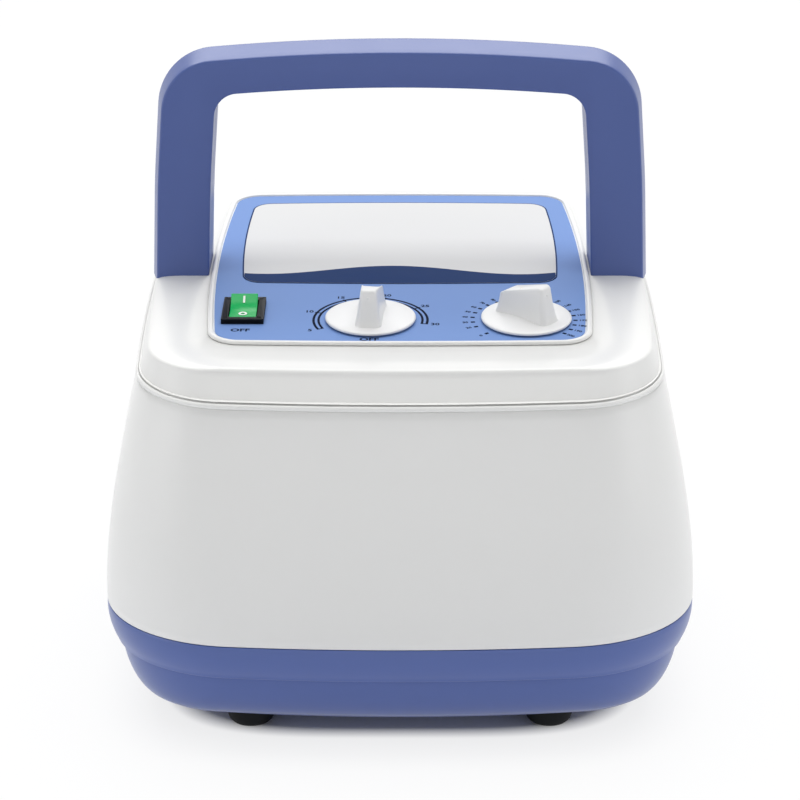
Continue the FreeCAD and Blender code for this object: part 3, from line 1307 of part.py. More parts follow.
def electric_leads():
    """Two insulated leads, each along one side wall from the rear bay to the front."""
    radius = v("lead_radius")
    pin_end = v("bay_floor") - v("inlet_depth") - v("pin_tail") - v("seat_gap") - radius
    fuse_end = v("bay_floor") - v("fuse_depth") - v("fuse_tail") - v("seat_gap") - radius
    z = v("inlet_height")
    side = v("lead_side")
    run = v("lead_run")
    tab_end = v("label_top") - v("switch_depth") - v("tab_length") - v("seat_gap")
    switch_end = panel_placement().multVec(Vector(v("switch_x"), v("switch_row") - v("tab_spacing"), tab_end))
    block_top = v("chassis_height") + v("chassis_thickness") + v("terminal_height") / 2
    block_end = Vector(v("terminal_x") + v("terminal_width") / 2 + v("seat_gap"), v("terminal_y"), block_top)
    fused = swept([
        Vector(v("fuse_x"), fuse_end, z), Vector(v("fuse_x") - run / 5, fuse_end - run * 0.7, z + run * 0.4),
        Vector(-side, run, v("lead_high")), Vector(-side, -run, v("lead_high") + run / 5),
        switch_end + Vector(-run / 10, run / 20, -run * 0.7), switch_end], radius, v("lead_bend"))
    neutral = swept([
        Vector(v("inlet_x") + v("pin_offset"), pin_end, z),
        Vector(v("inlet_x") + run * 0.4, pin_end - run * 0.8, z - run * 0.3),
        Vector(side, run, v("lead_low")), Vector(side, -run * 1.2, v("lead_low") - run * 0.4),
        Vector(side - run * 0.3, v("terminal_y") + run * 0.3, block_top + run * 0.15), block_end],
        radius, v("lead_bend"))
    node_from_shape(Part.makeCompound([fused, neutral]), "mains_leads")


# ---------------------------------------------------------------- assembly

base_tray()
main_housing()
top_lid()
control_panel()
labels()
handle_half("handle_front_shell", -1)
handle_half("handle_rear_shell", 1)
screws_and_feet()
rocker_switch()
switch_rocker()
knob("timer_knob", "timer_x", 0)
knob("pressure_knob", "pressure_x", v("pressure_rest_angle"))
hex_nut("timer_nut", "timer_x")
hex_nut("valve_nut", "pressure_x")
turned_shaft("timer_shaft", "timer_x", "shaft_depth")
turned_shaft("valve_needle", "pressure_x", "needle_depth")
timer_case()
bleed_valve()
bleed_barb()
chassis()
pump()
distributor()
air_tubes()
outlet_block()
power_inlet()
fuse_holder()
terminal_block()
electric_leads()
doc.recompute()

for thing in doc.Objects:
    if "Invalid" in thing.State or "Error" in thing.State:
        raise ValueError(f"{thing.Label} failed: {thing.State}")

os.makedirs("parts", exist_ok=True)
for piece in nodes:
    if piece.Shape.isNull() or not piece.Shape.isValid():
        raise ValueError(f"{piece.Label} has no valid shape")
    piece.Shape.exportStep(f"parts/{piece.Label}.step")
print(len(nodes), "sub-parts written")
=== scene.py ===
import json
import math

import bmesh
import bpy
from mathutils import Matrix, Vector


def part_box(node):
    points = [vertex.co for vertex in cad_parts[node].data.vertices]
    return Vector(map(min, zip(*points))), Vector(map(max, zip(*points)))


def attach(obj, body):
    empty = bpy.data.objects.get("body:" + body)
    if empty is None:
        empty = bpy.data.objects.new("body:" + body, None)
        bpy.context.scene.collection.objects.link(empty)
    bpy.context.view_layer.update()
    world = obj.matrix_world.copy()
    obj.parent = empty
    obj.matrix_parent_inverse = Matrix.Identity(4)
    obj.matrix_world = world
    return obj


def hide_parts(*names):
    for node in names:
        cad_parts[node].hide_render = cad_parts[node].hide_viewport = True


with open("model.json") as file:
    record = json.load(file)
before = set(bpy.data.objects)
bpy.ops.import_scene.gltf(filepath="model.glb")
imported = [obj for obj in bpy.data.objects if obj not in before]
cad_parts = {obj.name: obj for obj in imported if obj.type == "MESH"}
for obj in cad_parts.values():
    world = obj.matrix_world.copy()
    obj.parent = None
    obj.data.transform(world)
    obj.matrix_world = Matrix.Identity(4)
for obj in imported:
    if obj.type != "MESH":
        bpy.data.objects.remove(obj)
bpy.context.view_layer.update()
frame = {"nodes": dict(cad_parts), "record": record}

mm = 0.001
toMetres = Matrix.Scale(mm, 4)
nodes = frame["nodes"]

camera = {
    "lens": 105.75,
    "place": (0, -860, 375),
    "pitchDown": 18,
}
cam = bpy.data.objects.new("camera", bpy.data.cameras.new("camera"))
cam.data.lens = camera["lens"]
cam.location = Vector(camera["place"]) * mm
cam.rotation_euler = (math.radians(90 - camera["pitchDown"]), 0, 0)
cam.data.clip_start = 0.01
cam.data.clip_end = 50
bpy.context.scene.collection.objects.link(cam)
bpy.context.scene.camera = cam
print("camera placed")


# sizes of the case in millimetres; a ring is half width, half depth, corner and the bow of sides and ends
case = {
    "seam": (108.38, 116.7, 52.0, 5.25, 9.5),
    "seamHeight": 42.5,
    "rim": (105.6, 113.2, 48.2, 5.25, 9.5),
    "rimHeight": 29.3,
    "bowl": (94.7, 101.2, 30.5, 5.25, 9.5),
    "bowlHeight": 10.4,
    "bowlStep": 1.9,
    "bowlCurve": 1.68,
    "underside": 9.0,
    "undersideInset": 6.6,
    "joint": (93.8, 104.2, 33.0, 3.65, 5.7),
    "jointHeight": 138.0,
    "lidEdge": (91.2, 97.2, 25.5, 5.0, 4.8),
    "lidHeight": 149.3,
    "edgeDrop": 1.6,
    "edgeInset": 1.2,
    "sideInset": 9.0,
    "bead": ((0.0, 0.0), (0.5, 0.1), (0.78, 0.4), (0.85, 0.8), (0.74, 1.2), (0.48, 1.55), (0.15, 1.75),
             (0.0, 1.8)),
    "belly": 2.7,
    "bellySkew": 0.25,
    "tilt": math.radians(7),
    "wall": 2.4,
    "sideSteps": 8,
    "cornerSteps": 22,
}
panel = {
    "rowY": -54.8,
    "middle": 54.8,
    "half": (68.2, 73.95, 9.5),
    "sideBow": 3.8,
    "endBow": 1.5,
    "margin": 2.3,
    "rim": 1.9,
    "rise": 1.5,
    "flange": 0.6,
    "plate": 2.4,
    "windowInset": 3.0,
    "label": 0.3,
}
panelNormal = Vector((0, -math.sin(case["tilt"]), math.cos(case["tilt"])))
panelStart = Vector((0, panel["rowY"], case["lidHeight"] + panel["rowY"] * math.tan(case["tilt"])))
panelTurn = Matrix.Rotation(case["tilt"], 4, "X")
labelTop = panel["flange"] + panel["label"]


def onPanel(x, along, above):
    # panel axes: along runs up the slope from the knob row, above stands square to it
    return (Matrix.Translation(panelStart) @ panelTurn) @ Vector((x, along, above))


def panelMatrix(x=0.0, along=0.0, above=0.0, turned=0.0):
    spot = Matrix.Translation(onPanel(x, along, above) * mm)
    return spot @ panelTurn @ Matrix.Rotation(math.radians(turned), 4, "Z") @ toMetres


def addNode(tree, kind, values=()):
    node = tree.nodes.new(kind)
    for socket, value in dict(values).items():
        node.inputs[socket].default_value = value
    return node


def newMaterial(name, colour, roughness, metallic=0.0, coat=0.0, specular=0.5, bend=1.5):
    material = bpy.data.materials.new(name)
    material.use_nodes = True
    shader = material.node_tree.nodes["Principled BSDF"]
    values = {"Base Color": (*colour, 1), "Roughness": roughness, "Metallic": metallic,
              "Coat Weight": coat, "Coat Roughness": 0.06, "Specular IOR Level": specular, "IOR": bend}
    for socket, value in values.items():
        shader.inputs[socket].default_value = value
    return material, material.node_tree, shader


def addNoise(tree, scale, detail=3.0, stretch=(1, 1, 1)):
    coordinates = addNode(tree, "ShaderNodeTexCoord")
    mapping = addNode(tree, "ShaderNodeMapping", {"Scale": stretch})
    noise = addNode(tree, "ShaderNodeTexNoise", {"Scale": scale, "Detail": detail})
    tree.links.new(coordinates.outputs["Object"], mapping.inputs["Vector"])
    tree.links.new(mapping.outputs["Vector"], noise.inputs["Vector"])
    return noise


def tintByNoise(tree, shader, noise, colour, amount):
    # gentle cloudy change of the base colour
    ramp = tree.nodes.new("ShaderNodeValToRGB")
    darker = [channel * (1 - amount) for channel in colour]
    lighter = [min(channel * (1 + amount), 1) for channel in colour]
    ramp.color_ramp.elements[0].color = (*darker, 1)
    ramp.color_ramp.elements[1].color = (*lighter, 1)
    tree.links.new(noise.outputs["Fac"], ramp.inputs["Fac"])
    tree.links.new(ramp.outputs["Color"], shader.inputs["Base Color"])


def roughenByNoise(tree, shader, noise, low, high):
    spread = addNode(tree, "ShaderNodeMapRange", {"To Min": low, "To Max": high})
    tree.links.new(noise.outputs["Fac"], spread.inputs["Value"])
    tree.links.new(spread.outputs["Result"], shader.inputs["Roughness"])


def bumpByNoise(tree, shader, noise, strength, distance):
    bump = addNode(tree, "ShaderNodeBump", {"Strength": strength, "Distance": distance})
    tree.links.new(noise.outputs["Fac"], bump.inputs["Height"])
    tree.links.new(bump.outputs["Normal"], shader.inputs["Normal"])


def mouldedPlastic(name, colour, roughness, grain, grainDepth, coat=0.0, cloud=0.02, bend=1.5):
    # moulded shells: faint clouding, uneven gloss and a fine skin texture
    material, tree, shader = newMaterial(name, colour, roughness, coat=coat, bend=bend)
    tintByNoise(tree, shader, addNoise(tree, 14), colour, cloud)
    roughenByNoise(tree, shader, addNoise(tree, 45, 4), roughness * 0.85, roughness * 1.2)
    bumpByNoise(tree, shader, addNoise(tree, grain, 2), 0.25, grainDepth)
    return material


def platedMetal(name, colour, roughness, stretch=(1, 1, 1), scale=900):
    material, tree, shader = newMaterial(name, colour, roughness, metallic=1.0)
    brushed = addNoise(tree, scale, 3, stretch)
    roughenByNoise(tree, shader, brushed, roughness * 0.75, roughness * 1.3)
    bumpByNoise(tree, shader, brushed, 0.15, 0.00003)
    tintByNoise(tree, shader, addNoise(tree, 60), colour, 0.06)
    return material


def rubberMaterial(name, colour, roughness):
    material, tree, shader = newMaterial(name, colour, roughness, specular=0.15)
    tintByNoise(tree, shader, addNoise(tree, 120), colour, 0.25)
    bumpByNoise(tree, shader, addNoise(tree, 2600, 3), 0.35, 0.00006)
    return material


def printedInk(name, colour, roughness=0.5):
    material, tree, shader = newMaterial(name, colour, roughness, bend=1.08)
    tintByNoise(tree, shader, addNoise(tree, 900, 2), colour, 0.08)
    return material


def feltMaterial(name, colour):
    material, tree, shader = newMaterial(name, colour, 0.95, specular=0.1)
    shader.inputs["Sheen Weight"].default_value = 0.4
    fibres = addNoise(tree, 1800, 8, (1, 1, 3))
    tintByNoise(tree, shader, fibres, colour, 0.2)
    bumpByNoise(tree, shader, fibres, 0.6, 0.0003)
    return material


def windingMaterial(name, colour):
    # fine copper turns side by side
    material, tree, shader = newMaterial(name, colour, 0.35, metallic=0.8)
    coordinates = addNode(tree, "ShaderNodeTexCoord")
    wave = addNode(tree, "ShaderNodeTexWave", {"Scale": 320, "Distortion": 0.6})
    tree.links.new(coordinates.outputs["Object"], wave.inputs["Vector"])
    bumpByNoise(tree, shader, wave, 0.6, 0.0002)
    tintByNoise(tree, shader, addNoise(tree, 200), colour, 0.12)
    return material


def tubeMaterial(name, colour):
    material, tree, shader = newMaterial(name, colour, 0.25)
    shader.inputs["Subsurface Weight"].default_value = 0.3
    shader.inputs["Subsurface Radius"].default_value = (0.002, 0.002, 0.002)
    roughenByNoise(tree, shader, addNoise(tree, 300), 0.2, 0.35)
    tintByNoise(tree, shader, addNoise(tree, 30), colour, 0.04)
    return material


finishes = (
    # name, colour, roughness, grain scale and depth, coat, clouding, index of refraction
    (mouldedPlastic, "shellWhite", (0.80, 0.80, 0.785), 0.30, 900, 0.00002, 0.0, 0.006),
    (mouldedPlastic, "knobWhite", (0.79, 0.79, 0.785), 0.30, 1500, 0.00002, 0.0, 0.006),
    (mouldedPlastic, "shellBlue", (0.076, 0.125, 0.365), 0.30, 1300, 0.00002, 0.05, 0.01),
    (mouldedPlastic, "handleBlue", (0.055, 0.095, 0.30), 0.32, 1300, 0.00002, 0.0, 0.01),
    (mouldedPlastic, "labelBlue", (0.176, 0.29, 0.585), 0.40, 3200, 0.00002, 0.0, 0.015, 1.15),
    (mouldedPlastic, "labelPale", (0.66, 0.66, 0.655), 0.40, 3200, 0.00002, 0.0, 0.006, 1.15),
    (mouldedPlastic, "labelNavy", (0.003, 0.028, 0.118), 0.40, 3200, 0.00002, 0.0, 0.06, 1.1),
    (mouldedPlastic, "switchBlack", (0.003, 0.004, 0.006), 0.42, 2400, 0.00004, 0.0, 0.1, 1.25),
    (mouldedPlastic, "switchGreen", (0.002, 0.40, 0.09), 0.25, 1500, 0.00002, 0.0, 0.05, 1.3),
    (mouldedPlastic, "worksPlastic", (0.66, 0.66, 0.63), 0.42, 1600, 0.00004, 0.0, 0.03),
    (mouldedPlastic, "worksBlack", (0.016, 0.016, 0.018), 0.40, 1900, 0.00005, 0.0, 0.1),
    (mouldedPlastic, "leadBlue", (0.03, 0.08, 0.35), 0.45, 1500, 0.00003),
    (rubberMaterial, "footRubber", (0.007, 0.008, 0.009), 0.6),
    (rubberMaterial, "valveRubber", (0.02, 0.02, 0.02), 0.7),
    # name, colour, roughness, stretch and scale of the brushing
    (platedMetal, "screwSteel", (0.55, 0.55, 0.56), 0.28),
    (platedMetal, "plateSteel", (0.60, 0.61, 0.62), 0.35, (1, 12, 1), 260),
    (platedMetal, "castAluminium", (0.66, 0.67, 0.68), 0.5, (1, 1, 1), 1400),
    (platedMetal, "coreSteel", (0.12, 0.12, 0.125), 0.5, (1, 1, 14), 300),
    (platedMetal, "turnedBrass", (0.72, 0.52, 0.20), 0.25, (1, 1, 10), 500),
    (windingMaterial, "coilCopper", (0.62, 0.26, 0.09)),
    (tubeMaterial, "tubeClear", (0.70, 0.73, 0.74)),
    (feltMaterial, "filterFelt", (0.62, 0.60, 0.55)),
    (printedInk, "inkDark", (0.003, 0.007, 0.024)),
    (printedInk, "inkWhite", (0.85, 0.92, 0.86)),
)
finish = {name: make(name, *values) for make, name, *values in finishes}


def slotMaterial(slot):
    # shell_white is dressed in shellWhite, and so on
    first, *others = slot.split("_")
    name = {"coil_wrap": "coilCopper", "brass_parts": "turnedBrass"}.get(
        slot, first + "".join(word.capitalize() for word in others))
    return finish[name]


for subpart in frame["record"]["subparts"]:
    mesh = nodes[subpart["node"]].data
    mesh.materials.clear()
    mesh.materials.append(slotMaterial(subpart["material_slot"]))
print("materials made")


def newObject(name, bm):
    mesh = bpy.data.meshes.new(name)
    bm.to_mesh(mesh)
    bm.free()
    made = bpy.data.objects.new(name, mesh)
    bpy.context.scene.collection.objects.link(made)
    return made


def newPiece(name, bm, body, material, replaced=(), sharpAngle=38, matrix=toMetres):
    # bm is in millimetres; the matrix brings it to its place in metres
    bm.transform(matrix)
    piece = newObject(name, bm)
    piece.data.materials.append(finish[material])
    piece.data.shade_smooth()
    piece.data.set_sharp_from_angle(angle=math.radians(sharpAngle))
    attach(piece, body)
    if replaced:
        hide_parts(*replaced)
    return piece


def applyModifiers(piece):
    graph = bpy.context.evaluated_depsgraph_get()
    flat = bpy.data.meshes.new_from_object(piece.evaluated_get(graph))
    piece.modifiers.clear()
    piece.data = flat


def addWall(piece, thickness):
    wall = piece.modifiers.new("wall", "SOLIDIFY")
    wall.thickness = thickness * mm
    wall.offset = -1
    wall.use_even_offset = True
    applyModifiers(piece)


def subtract(piece, tool):
    boolean = piece.modifiers.new("cut", "BOOLEAN")
    boolean.operation = "DIFFERENCE"
    boolean.solver = "EXACT"
    boolean.object = tool
    applyModifiers(piece)


def addInto(target, source, matrix=Matrix()):
    source.transform(matrix)
    mesh = bpy.data.meshes.new("part")
    source.to_mesh(mesh)
    source.free()
    target.from_mesh(mesh)
    bpy.data.meshes.remove(mesh)


def vertsOf(items):
    return [item for item in items if isinstance(item, bmesh.types.BMVert)]


def faceOut(bm):
    bmesh.ops.recalc_face_normals(bm, faces=bm.faces)


def pushOut(bm, faces, move):
    # extrude the faces and carry the new ones along
    raised = bmesh.ops.extrude_face_region(bm, geom=faces)["geom"]
    bmesh.ops.translate(bm, vec=move, verts=vertsOf(raised))


def roundEdges(bm, edges, offset, segments=3, clamp=False):
    bmesh.ops.bevel(bm, geom=edges, offset=offset, offset_type="OFFSET", segments=segments, profile=0.5,
                    affect="EDGES", material=-1, clamp_overlap=clamp)


def highestFace(bm):
    return max(bm.faces, key=lambda face: (round(face.calc_center_median().z, 4), face.calc_area()))


def roundedPlate(width, height, thickness, corner, edge, cornerSteps=6):
    bm = bmesh.new()
    bmesh.ops.create_cube(bm, size=1)
    bmesh.ops.scale(bm, vec=(width, height, thickness), verts=bm.verts)
    bmesh.ops.translate(bm, vec=(0, 0, thickness / 2), verts=bm.verts)
    uprights = [item for item in bm.edges
                if abs(item.verts[0].co.z - item.verts[1].co.z) > thickness * 0.5]
    roundEdges(bm, uprights, corner, cornerSteps)
    roundEdges(bm, list(highestFace(bm).edges), edge)
    return bm


def arcPoints(centre, start, end, steps):
    # points on the shorter arc from start to end, the first left out
    first = start - centre
    last = end - centre
    points = []
    angle = first.angle_signed(last)
    for step in range(1, steps + 1):
        turned = first.copy()
        turned.rotate(Matrix.Rotation(-angle * step / steps, 2))
        points.append(centre + turned)
    return points


def ringPoints(size, sideBow, endBow):
    # one quarter is worked out from its three tangent arcs, then mirrored round
    halfWidth, halfDepth, corner = size
    sideRadius = (halfDepth ** 2 + sideBow ** 2) / (2 * sideBow)
    endRadius = (halfWidth ** 2 + endBow ** 2) / (2 * endBow)
    sideCentre = Vector((halfWidth - sideRadius, 0))
    endCentre = Vector((0, halfDepth - endRadius))
    gap = endCentre - sideCentre
    reachSide = sideRadius - corner
    reachEnd = endRadius - corner
    along = (reachSide ** 2 - reachEnd ** 2 + gap.length_squared) / (2 * gap.length)
    off = math.sqrt(reachSide ** 2 - along ** 2)
    unit = gap.normalized()
    across = Vector((-unit.y, unit.x))
    options = [sideCentre + unit * along + across * sign * off for sign in (1, -1)]
    cornerCentre = max(options, key=lambda point: point.x + point.y)
    sideTouch = sideCentre + (cornerCentre - sideCentre).normalized() * sideRadius
    endTouch = endCentre + (cornerCentre - endCentre).normalized() * endRadius
    quarter = [Vector((halfWidth, 0))]
    quarter += arcPoints(sideCentre, quarter[0], sideTouch, case["sideSteps"])
    quarter += arcPoints(cornerCentre, sideTouch, endTouch, case["cornerSteps"])
    quarter += arcPoints(endCentre, endTouch, Vector((0, halfDepth)), case["sideSteps"])
    points = quarter[:-1]
    points += [Vector((-point.x, point.y)) for point in reversed(quarter[1:])]
    points += [Vector((-point.x, -point.y)) for point in quarter[:-1]]
    points += [Vector((point.x, -point.y)) for point in reversed(quarter[1:])]
    return points


def caseRing(size, height, tilt=0.0, inset=0.0, rise=0.0):
    # height is taken at Y = 0; rise moves a tilted ring square to its plane
    halfWidth, halfDepth, corner, sideBow, endBow = size
    inPlane = (halfWidth - inset, halfDepth / math.cos(tilt) - inset, max(corner - inset, 2.0))
    turn = Matrix.Rotation(tilt, 3, "X")
    middle = Vector((0, 0, height)) + turn @ Vector((0, 0, rise))
    return [middle + turn @ Vector((point.x, point.y, 0))
            for point in ringPoints(inPlane, sideBow, endBow)]


def panelRing(grow, above):
    halfWidth, halfLength, corner = panel["half"]
    size = (halfWidth + grow, halfLength + grow, max(corner + grow, 2.0))
    return [onPanel(point.x, point.y + panel["middle"], above)
            for point in ringPoints(size, panel["sideBow"], panel["endBow"])]


def skinFromRings(rings):
    # the first ring is a circle pulled into shape, each next one is extruded from the last
    bm = bmesh.new()
    first = bmesh.ops.create_circle(bm, segments=len(rings[0]), radius=1)["verts"]
    for vert, point in zip(first, rings[0]):
        vert.co = point
    loop = list(first)
    for ring in rings[1:]:
        count = len(loop)
        edges = [bm.edges.get((loop[k], loop[(k + 1) % count])) for k in range(count)]
        fresh = bmesh.ops.extrude_edge_only(bm, edges=edges)["geom"]
        made = set(vertsOf(fresh))
        above = []
        for vert in loop:
            above.append(next(edge.other_vert(vert) for edge in vert.link_edges
                              if edge.other_vert(vert) in made))
        for vert, point in zip(above, ring):
            vert.co = point
        loop = above
    return bm, first, loop


def mixed(first, second, part):
    return tuple(a + (b - a) * part for a, b in zip(first, second))


def grown(size, amount):
    return (size[0] + amount, size[1] + amount, size[2] + amount, *size[3:])


def closeLoop(bm, loop):
    bmesh.ops.contextual_create(bm, geom=[bm.edges.get((loop[k], loop[k - 1])) for k in range(len(loop))])


def closedSkin(rings):
    bm, first, last = skinFromRings(rings)
    closeLoop(bm, first)
    closeLoop(bm, last)
    faceOut(bm)
    return bm


tray = {
    "bowlSteps": 14,
    "rimSteps": 8,
    "edgeRound": 0.6,
    "rimUnder": 0.35,
    "belly": 1.2,
    "pocketRadius": 4.1,
    "pocketDepth": 4.4,
}
# from the outer side of a node's corner piece to its middle
cornerReach = {"case_screws": 3.6, "rubber_feet": 8.8}


def buildTray():
    rings = []
    low = case["underside"]
    top = case["rimHeight"] - tray["rimUnder"]
    soft = tray["edgeRound"]
    bowlTop = grown(case["rim"], -case["bowlStep"])
    inset = case["undersideInset"]
    curve = case["bowlCurve"]
    # quarter-round from the flat underside to the widest line of the bowl's foot
    for step in range(9):
        angle = math.radians(90 * step / 8)
        rings.append(caseRing(grown(case["bowl"], -inset * (1 - math.sin(angle))),
                              low + (case["bowlHeight"] - low) * (1 - math.cos(angle))))
    for step in range(1, tray["bowlSteps"] + 1):
        part = step / tray["bowlSteps"]
        swell = (1 - (1 - part) ** curve) ** (1 / curve)
        rings.append(caseRing(mixed(case["bowl"], bowlTop, swell),
                              case["bowlHeight"] + (top - case["bowlHeight"]) * part))
    # the rim stands out over the bowl with a rounded lower edge
    for step in range(5):
        angle = math.radians(90 * step / 4)
        rings.append(caseRing(grown(case["rim"], -soft * (1 - math.sin(angle))),
                              top + soft * (1 - math.cos(angle)) + 0.03))
    start = top + soft + 0.03
    end = case["seamHeight"] - soft
    for step in range(1, tray["rimSteps"] + 1):
        part = step / tray["rimSteps"]
        swell = part + tray["belly"] * part * (1 - part)
        rings.append(caseRing(mixed(case["rim"], case["seam"], swell), start + (end - start) * part))
    rings.append(caseRing(grown(case["seam"], -soft * 0.3), case["seamHeight"] - 0.15))
    rings.append(caseRing(grown(case["seam"], -soft), case["seamHeight"]))
    rings.append(caseRing(grown(case["seam"], -case["wall"]), case["seamHeight"]))
    bm, first, _ = skinFromRings(rings)
    closeLoop(bm, first)
    faceOut(bm)
    piece = newPiece("base_tray_shell", bm, "case", "shellBlue", ["base_tray"], 40)
    addWall(piece, case["wall"])
    cutScrewPockets(piece)


def cornerSpots(node):
    # the node holds four alike pieces at its corners
    low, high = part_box(node)
    reach = cornerReach[node]
    return [(x, y) for x in (low.x / mm + reach, high.x / mm - reach)
            for y in (low.y / mm + reach, high.y / mm - reach)]


def cutScrewPockets(piece):
    # pockets in the flat underside, one below each case screw
    cutter = bmesh.new()
    radius = tray["pocketRadius"] * mm
    for x, y in cornerSpots("case_screws"):
        bmesh.ops.create_cone(cutter, cap_ends=True, segments=40, radius1=radius, radius2=radius,
                              depth=tray["pocketDepth"] * mm,
                              matrix=Matrix.Translation(Vector((x, y, case["underside"])) * mm))
    tool = newObject("pockets", cutter)
    subtract(piece, tool)
    bpy.data.objects.remove(tool)


buildTray()
print("tray built")


housing = {
    "steps": 30,
    "edgeRound": 0.8,
    "bayHalf": 74.0,
    "bayLow": 46.0,
    "bayHigh": 96.0,
    "bayFloor": 98.0,
    "bayRound": 1.6,
    "inletSpot": (56.0, 70.0),
    "inletHalf": (10.35, 14.1),
    "rearStart": 60.0,
}


def wallRing(part, inset=0.0, lift=0.0):
    belly = case["belly"] * 4 * part * (1 - part) * (1 + case["bellySkew"] * (1 - 2 * part))
    size = mixed(case["seam"], case["joint"], part)
    size = (size[0] + belly, size[1] + belly, *size[2:])
    height = case["seamHeight"] + (case["jointHeight"] - case["seamHeight"]) * part
    return caseRing(size, height, case["tilt"] * part, inset, lift)


def score(bm, faces, axis, place):
    # cut the faces along the plane where one coordinate has this value
    normal = Vector((axis == "x", 0, axis == "z"))
    around = {item for face in faces for item in (*face.edges, *face.verts)}
    made = bmesh.ops.bisect_plane(bm, geom=[*faces, *around], dist=1e-4, plane_co=normal * place,
                                  plane_no=normal)["geom"]
    return [item for item in made if isinstance(item, bmesh.types.BMFace)]


def openForInlet(bm, faces):
    # the power inlet's body passes through the bay floor
    x, height = housing["inletSpot"]
    halfWidth, halfHeight = housing["inletHalf"]
    for axis, middle, half in (("x", x, halfWidth), ("z", height, halfHeight)):
        for side in (-1, 1):
            faces = score(bm, faces, axis, middle + side * half)
    inner = [face for face in faces if abs(face.calc_center_median().x - x) < halfWidth
             and abs(face.calc_center_median().z - height) < halfHeight]
    bmesh.ops.delete(bm, geom=inner, context="FACES")


def cutBay(bm):
    # score the rear wall along the bay's four sides, open it and sink it to the bay floor
    half, low, high, rear = (housing[key] for key in ("bayHalf", "bayLow", "bayHigh", "rearStart"))
    for axis, place in (("x", half), ("x", -half), ("z", low), ("z", high)):
        score(bm, [face for face in bm.faces if face.calc_center_median().y > rear], axis, place)
    # where a column of the skin crosses a score line, its two near points become one
    scored = [vert for vert in bm.verts if vert.co.y > rear and abs(abs(vert.co.x) - half) < 1e-3]
    bmesh.ops.remove_doubles(bm, verts=scored, dist=0.6)
    inside = []
    for face in bm.faces:
        middle = face.calc_center_median()
        if middle.y > rear and abs(middle.x) < half and low < middle.z < high:
            inside.append(face)
    rim = {edge for face in inside for edge in face.edges
           if any(other not in inside for other in edge.link_faces)}
    bmesh.ops.delete(bm, geom=inside, context="FACES")
    rim = [edge for edge in rim if edge.is_valid]
    # a soft outer edge, then the bay's side walls
    fresh = rim
    for toFloor in (False, True):
        made = bmesh.ops.extrude_edge_only(bm, edges=fresh)["geom"]
        for vert in vertsOf(made):
            vert.co.y = housing["bayFloor"] if toFloor else vert.co.y - housing["bayRound"]
        fresh = [item for item in made
                 if isinstance(item, bmesh.types.BMEdge) and len(item.link_faces) == 1]
    openForInlet(bm, bmesh.ops.contextual_create(bm, geom=fresh)["faces"])
    roundEdges(bm, [edge for edge in rim if edge.is_valid], housing["bayRound"] * 0.8, clamp=True)


def buildHousing():
    rings = [wallRing(0, housing["edgeRound"]), wallRing(0, housing["edgeRound"] * 0.3, 0.2)]
    for step in range(housing["steps"] + 1):
        part = step / housing["steps"]
        rings.append(wallRing(0.008 + 0.984 * part))
    rings.append(wallRing(1, housing["edgeRound"] * 0.3, -0.2))
    rings.append(wallRing(1, housing["edgeRound"]))
    bm = skinFromRings(rings)[0]
    faceOut(bm)
    if sum(face.normal.dot(face.calc_center_median() * Vector((1, 1, 0))) for face in bm.faces) < 0:
        bmesh.ops.reverse_faces(bm, faces=bm.faces)
    cutBay(bm)
    piece = newPiece("main_housing_shell", bm, "case", "shellWhite", ["main_housing"], 32)
    addWall(piece, case["wall"])


buildHousing()
print("housing built")


lid = {
    "wallSteps": 8,
    "roundSteps": 10,
    "wallStart": 0.14,
}


def lidCap():
    # leaning sides, then the roll onto the top, wide at the left and right and tight at front and back
    tilt = case["tilt"]
    joint = case["jointHeight"]
    edgeHeight = case["lidHeight"] - case["edgeDrop"]
    halfWidth, halfDepth, corner, sideBow, endBow = case["lidEdge"]
    rings = []
    for step in range(lid["wallSteps"] + 1):
        part = lid["wallStart"] + (1 - lid["wallStart"]) * step / lid["wallSteps"]
        rings.append(caseRing(mixed(case["joint"], case["lidEdge"], part),
                              joint + (edgeHeight - joint) * part, tilt))
    for step in range(1, lid["roundSteps"] + 1):
        angle = math.radians(90 * step / lid["roundSteps"])
        inward = 1 - math.cos(angle)
        size = (halfWidth - case["sideInset"] * inward, halfDepth - case["edgeInset"] * inward,
                corner - case["edgeInset"] * inward, sideBow, endBow)
        rings.append(caseRing(size, edgeHeight + case["edgeDrop"] * math.sin(angle), tilt))
    return rings


def buildLid():
    tilt = case["tilt"]
    joint = case["jointHeight"]
    rings = [caseRing(case["joint"], joint, tilt, inset) for inset in (case["wall"], 0.6)]
    # the bead is a ridge, fuller below than above
    for proud, rise in case["bead"]:
        rings.append(caseRing(case["joint"], joint, tilt, -proud, rise))
    rings += lidCap()
    rings.append(panelRing(-panel["windowInset"], 0))
    bm = skinFromRings(rings)[0]
    faceOut(bm)
    if sum(face.normal.z for face in bm.faces) < 0:
        bmesh.ops.reverse_faces(bm, faces=bm.faces)
    piece = newPiece("top_lid_shell", bm, "case", "shellWhite", ["top_lid"], 32)
    addWall(piece, case["wall"])


def buildControlPanel():
    margin = panel["margin"]
    inner = margin - panel["rim"]
    plug = -panel["windowInset"] - 0.3
    rings = [panelRing(plug, panel["flange"] - panel["plate"]), panelRing(plug, -0.02),
             panelRing(margin - 0.35, -0.02), panelRing(margin, 0.3)]
    # the raised frame is round across its top
    for step in range(1, 11):
        angle = math.radians(180 * step / 10)
        foot = 0.5 if step < 5 else panel["flange"]
        across = (margin + inner) / 2 + (margin - inner) / 2 * math.cos(angle)
        rings.append(panelRing(across, foot + (panel["rise"] - foot) * math.sin(angle)))
    bm = closedSkin(rings)
    newPiece("control_panel_frame", bm, "case", "shellWhite", ["control_panel"], 40)


buildLid()
buildControlPanel()
print("lid and control panel built")


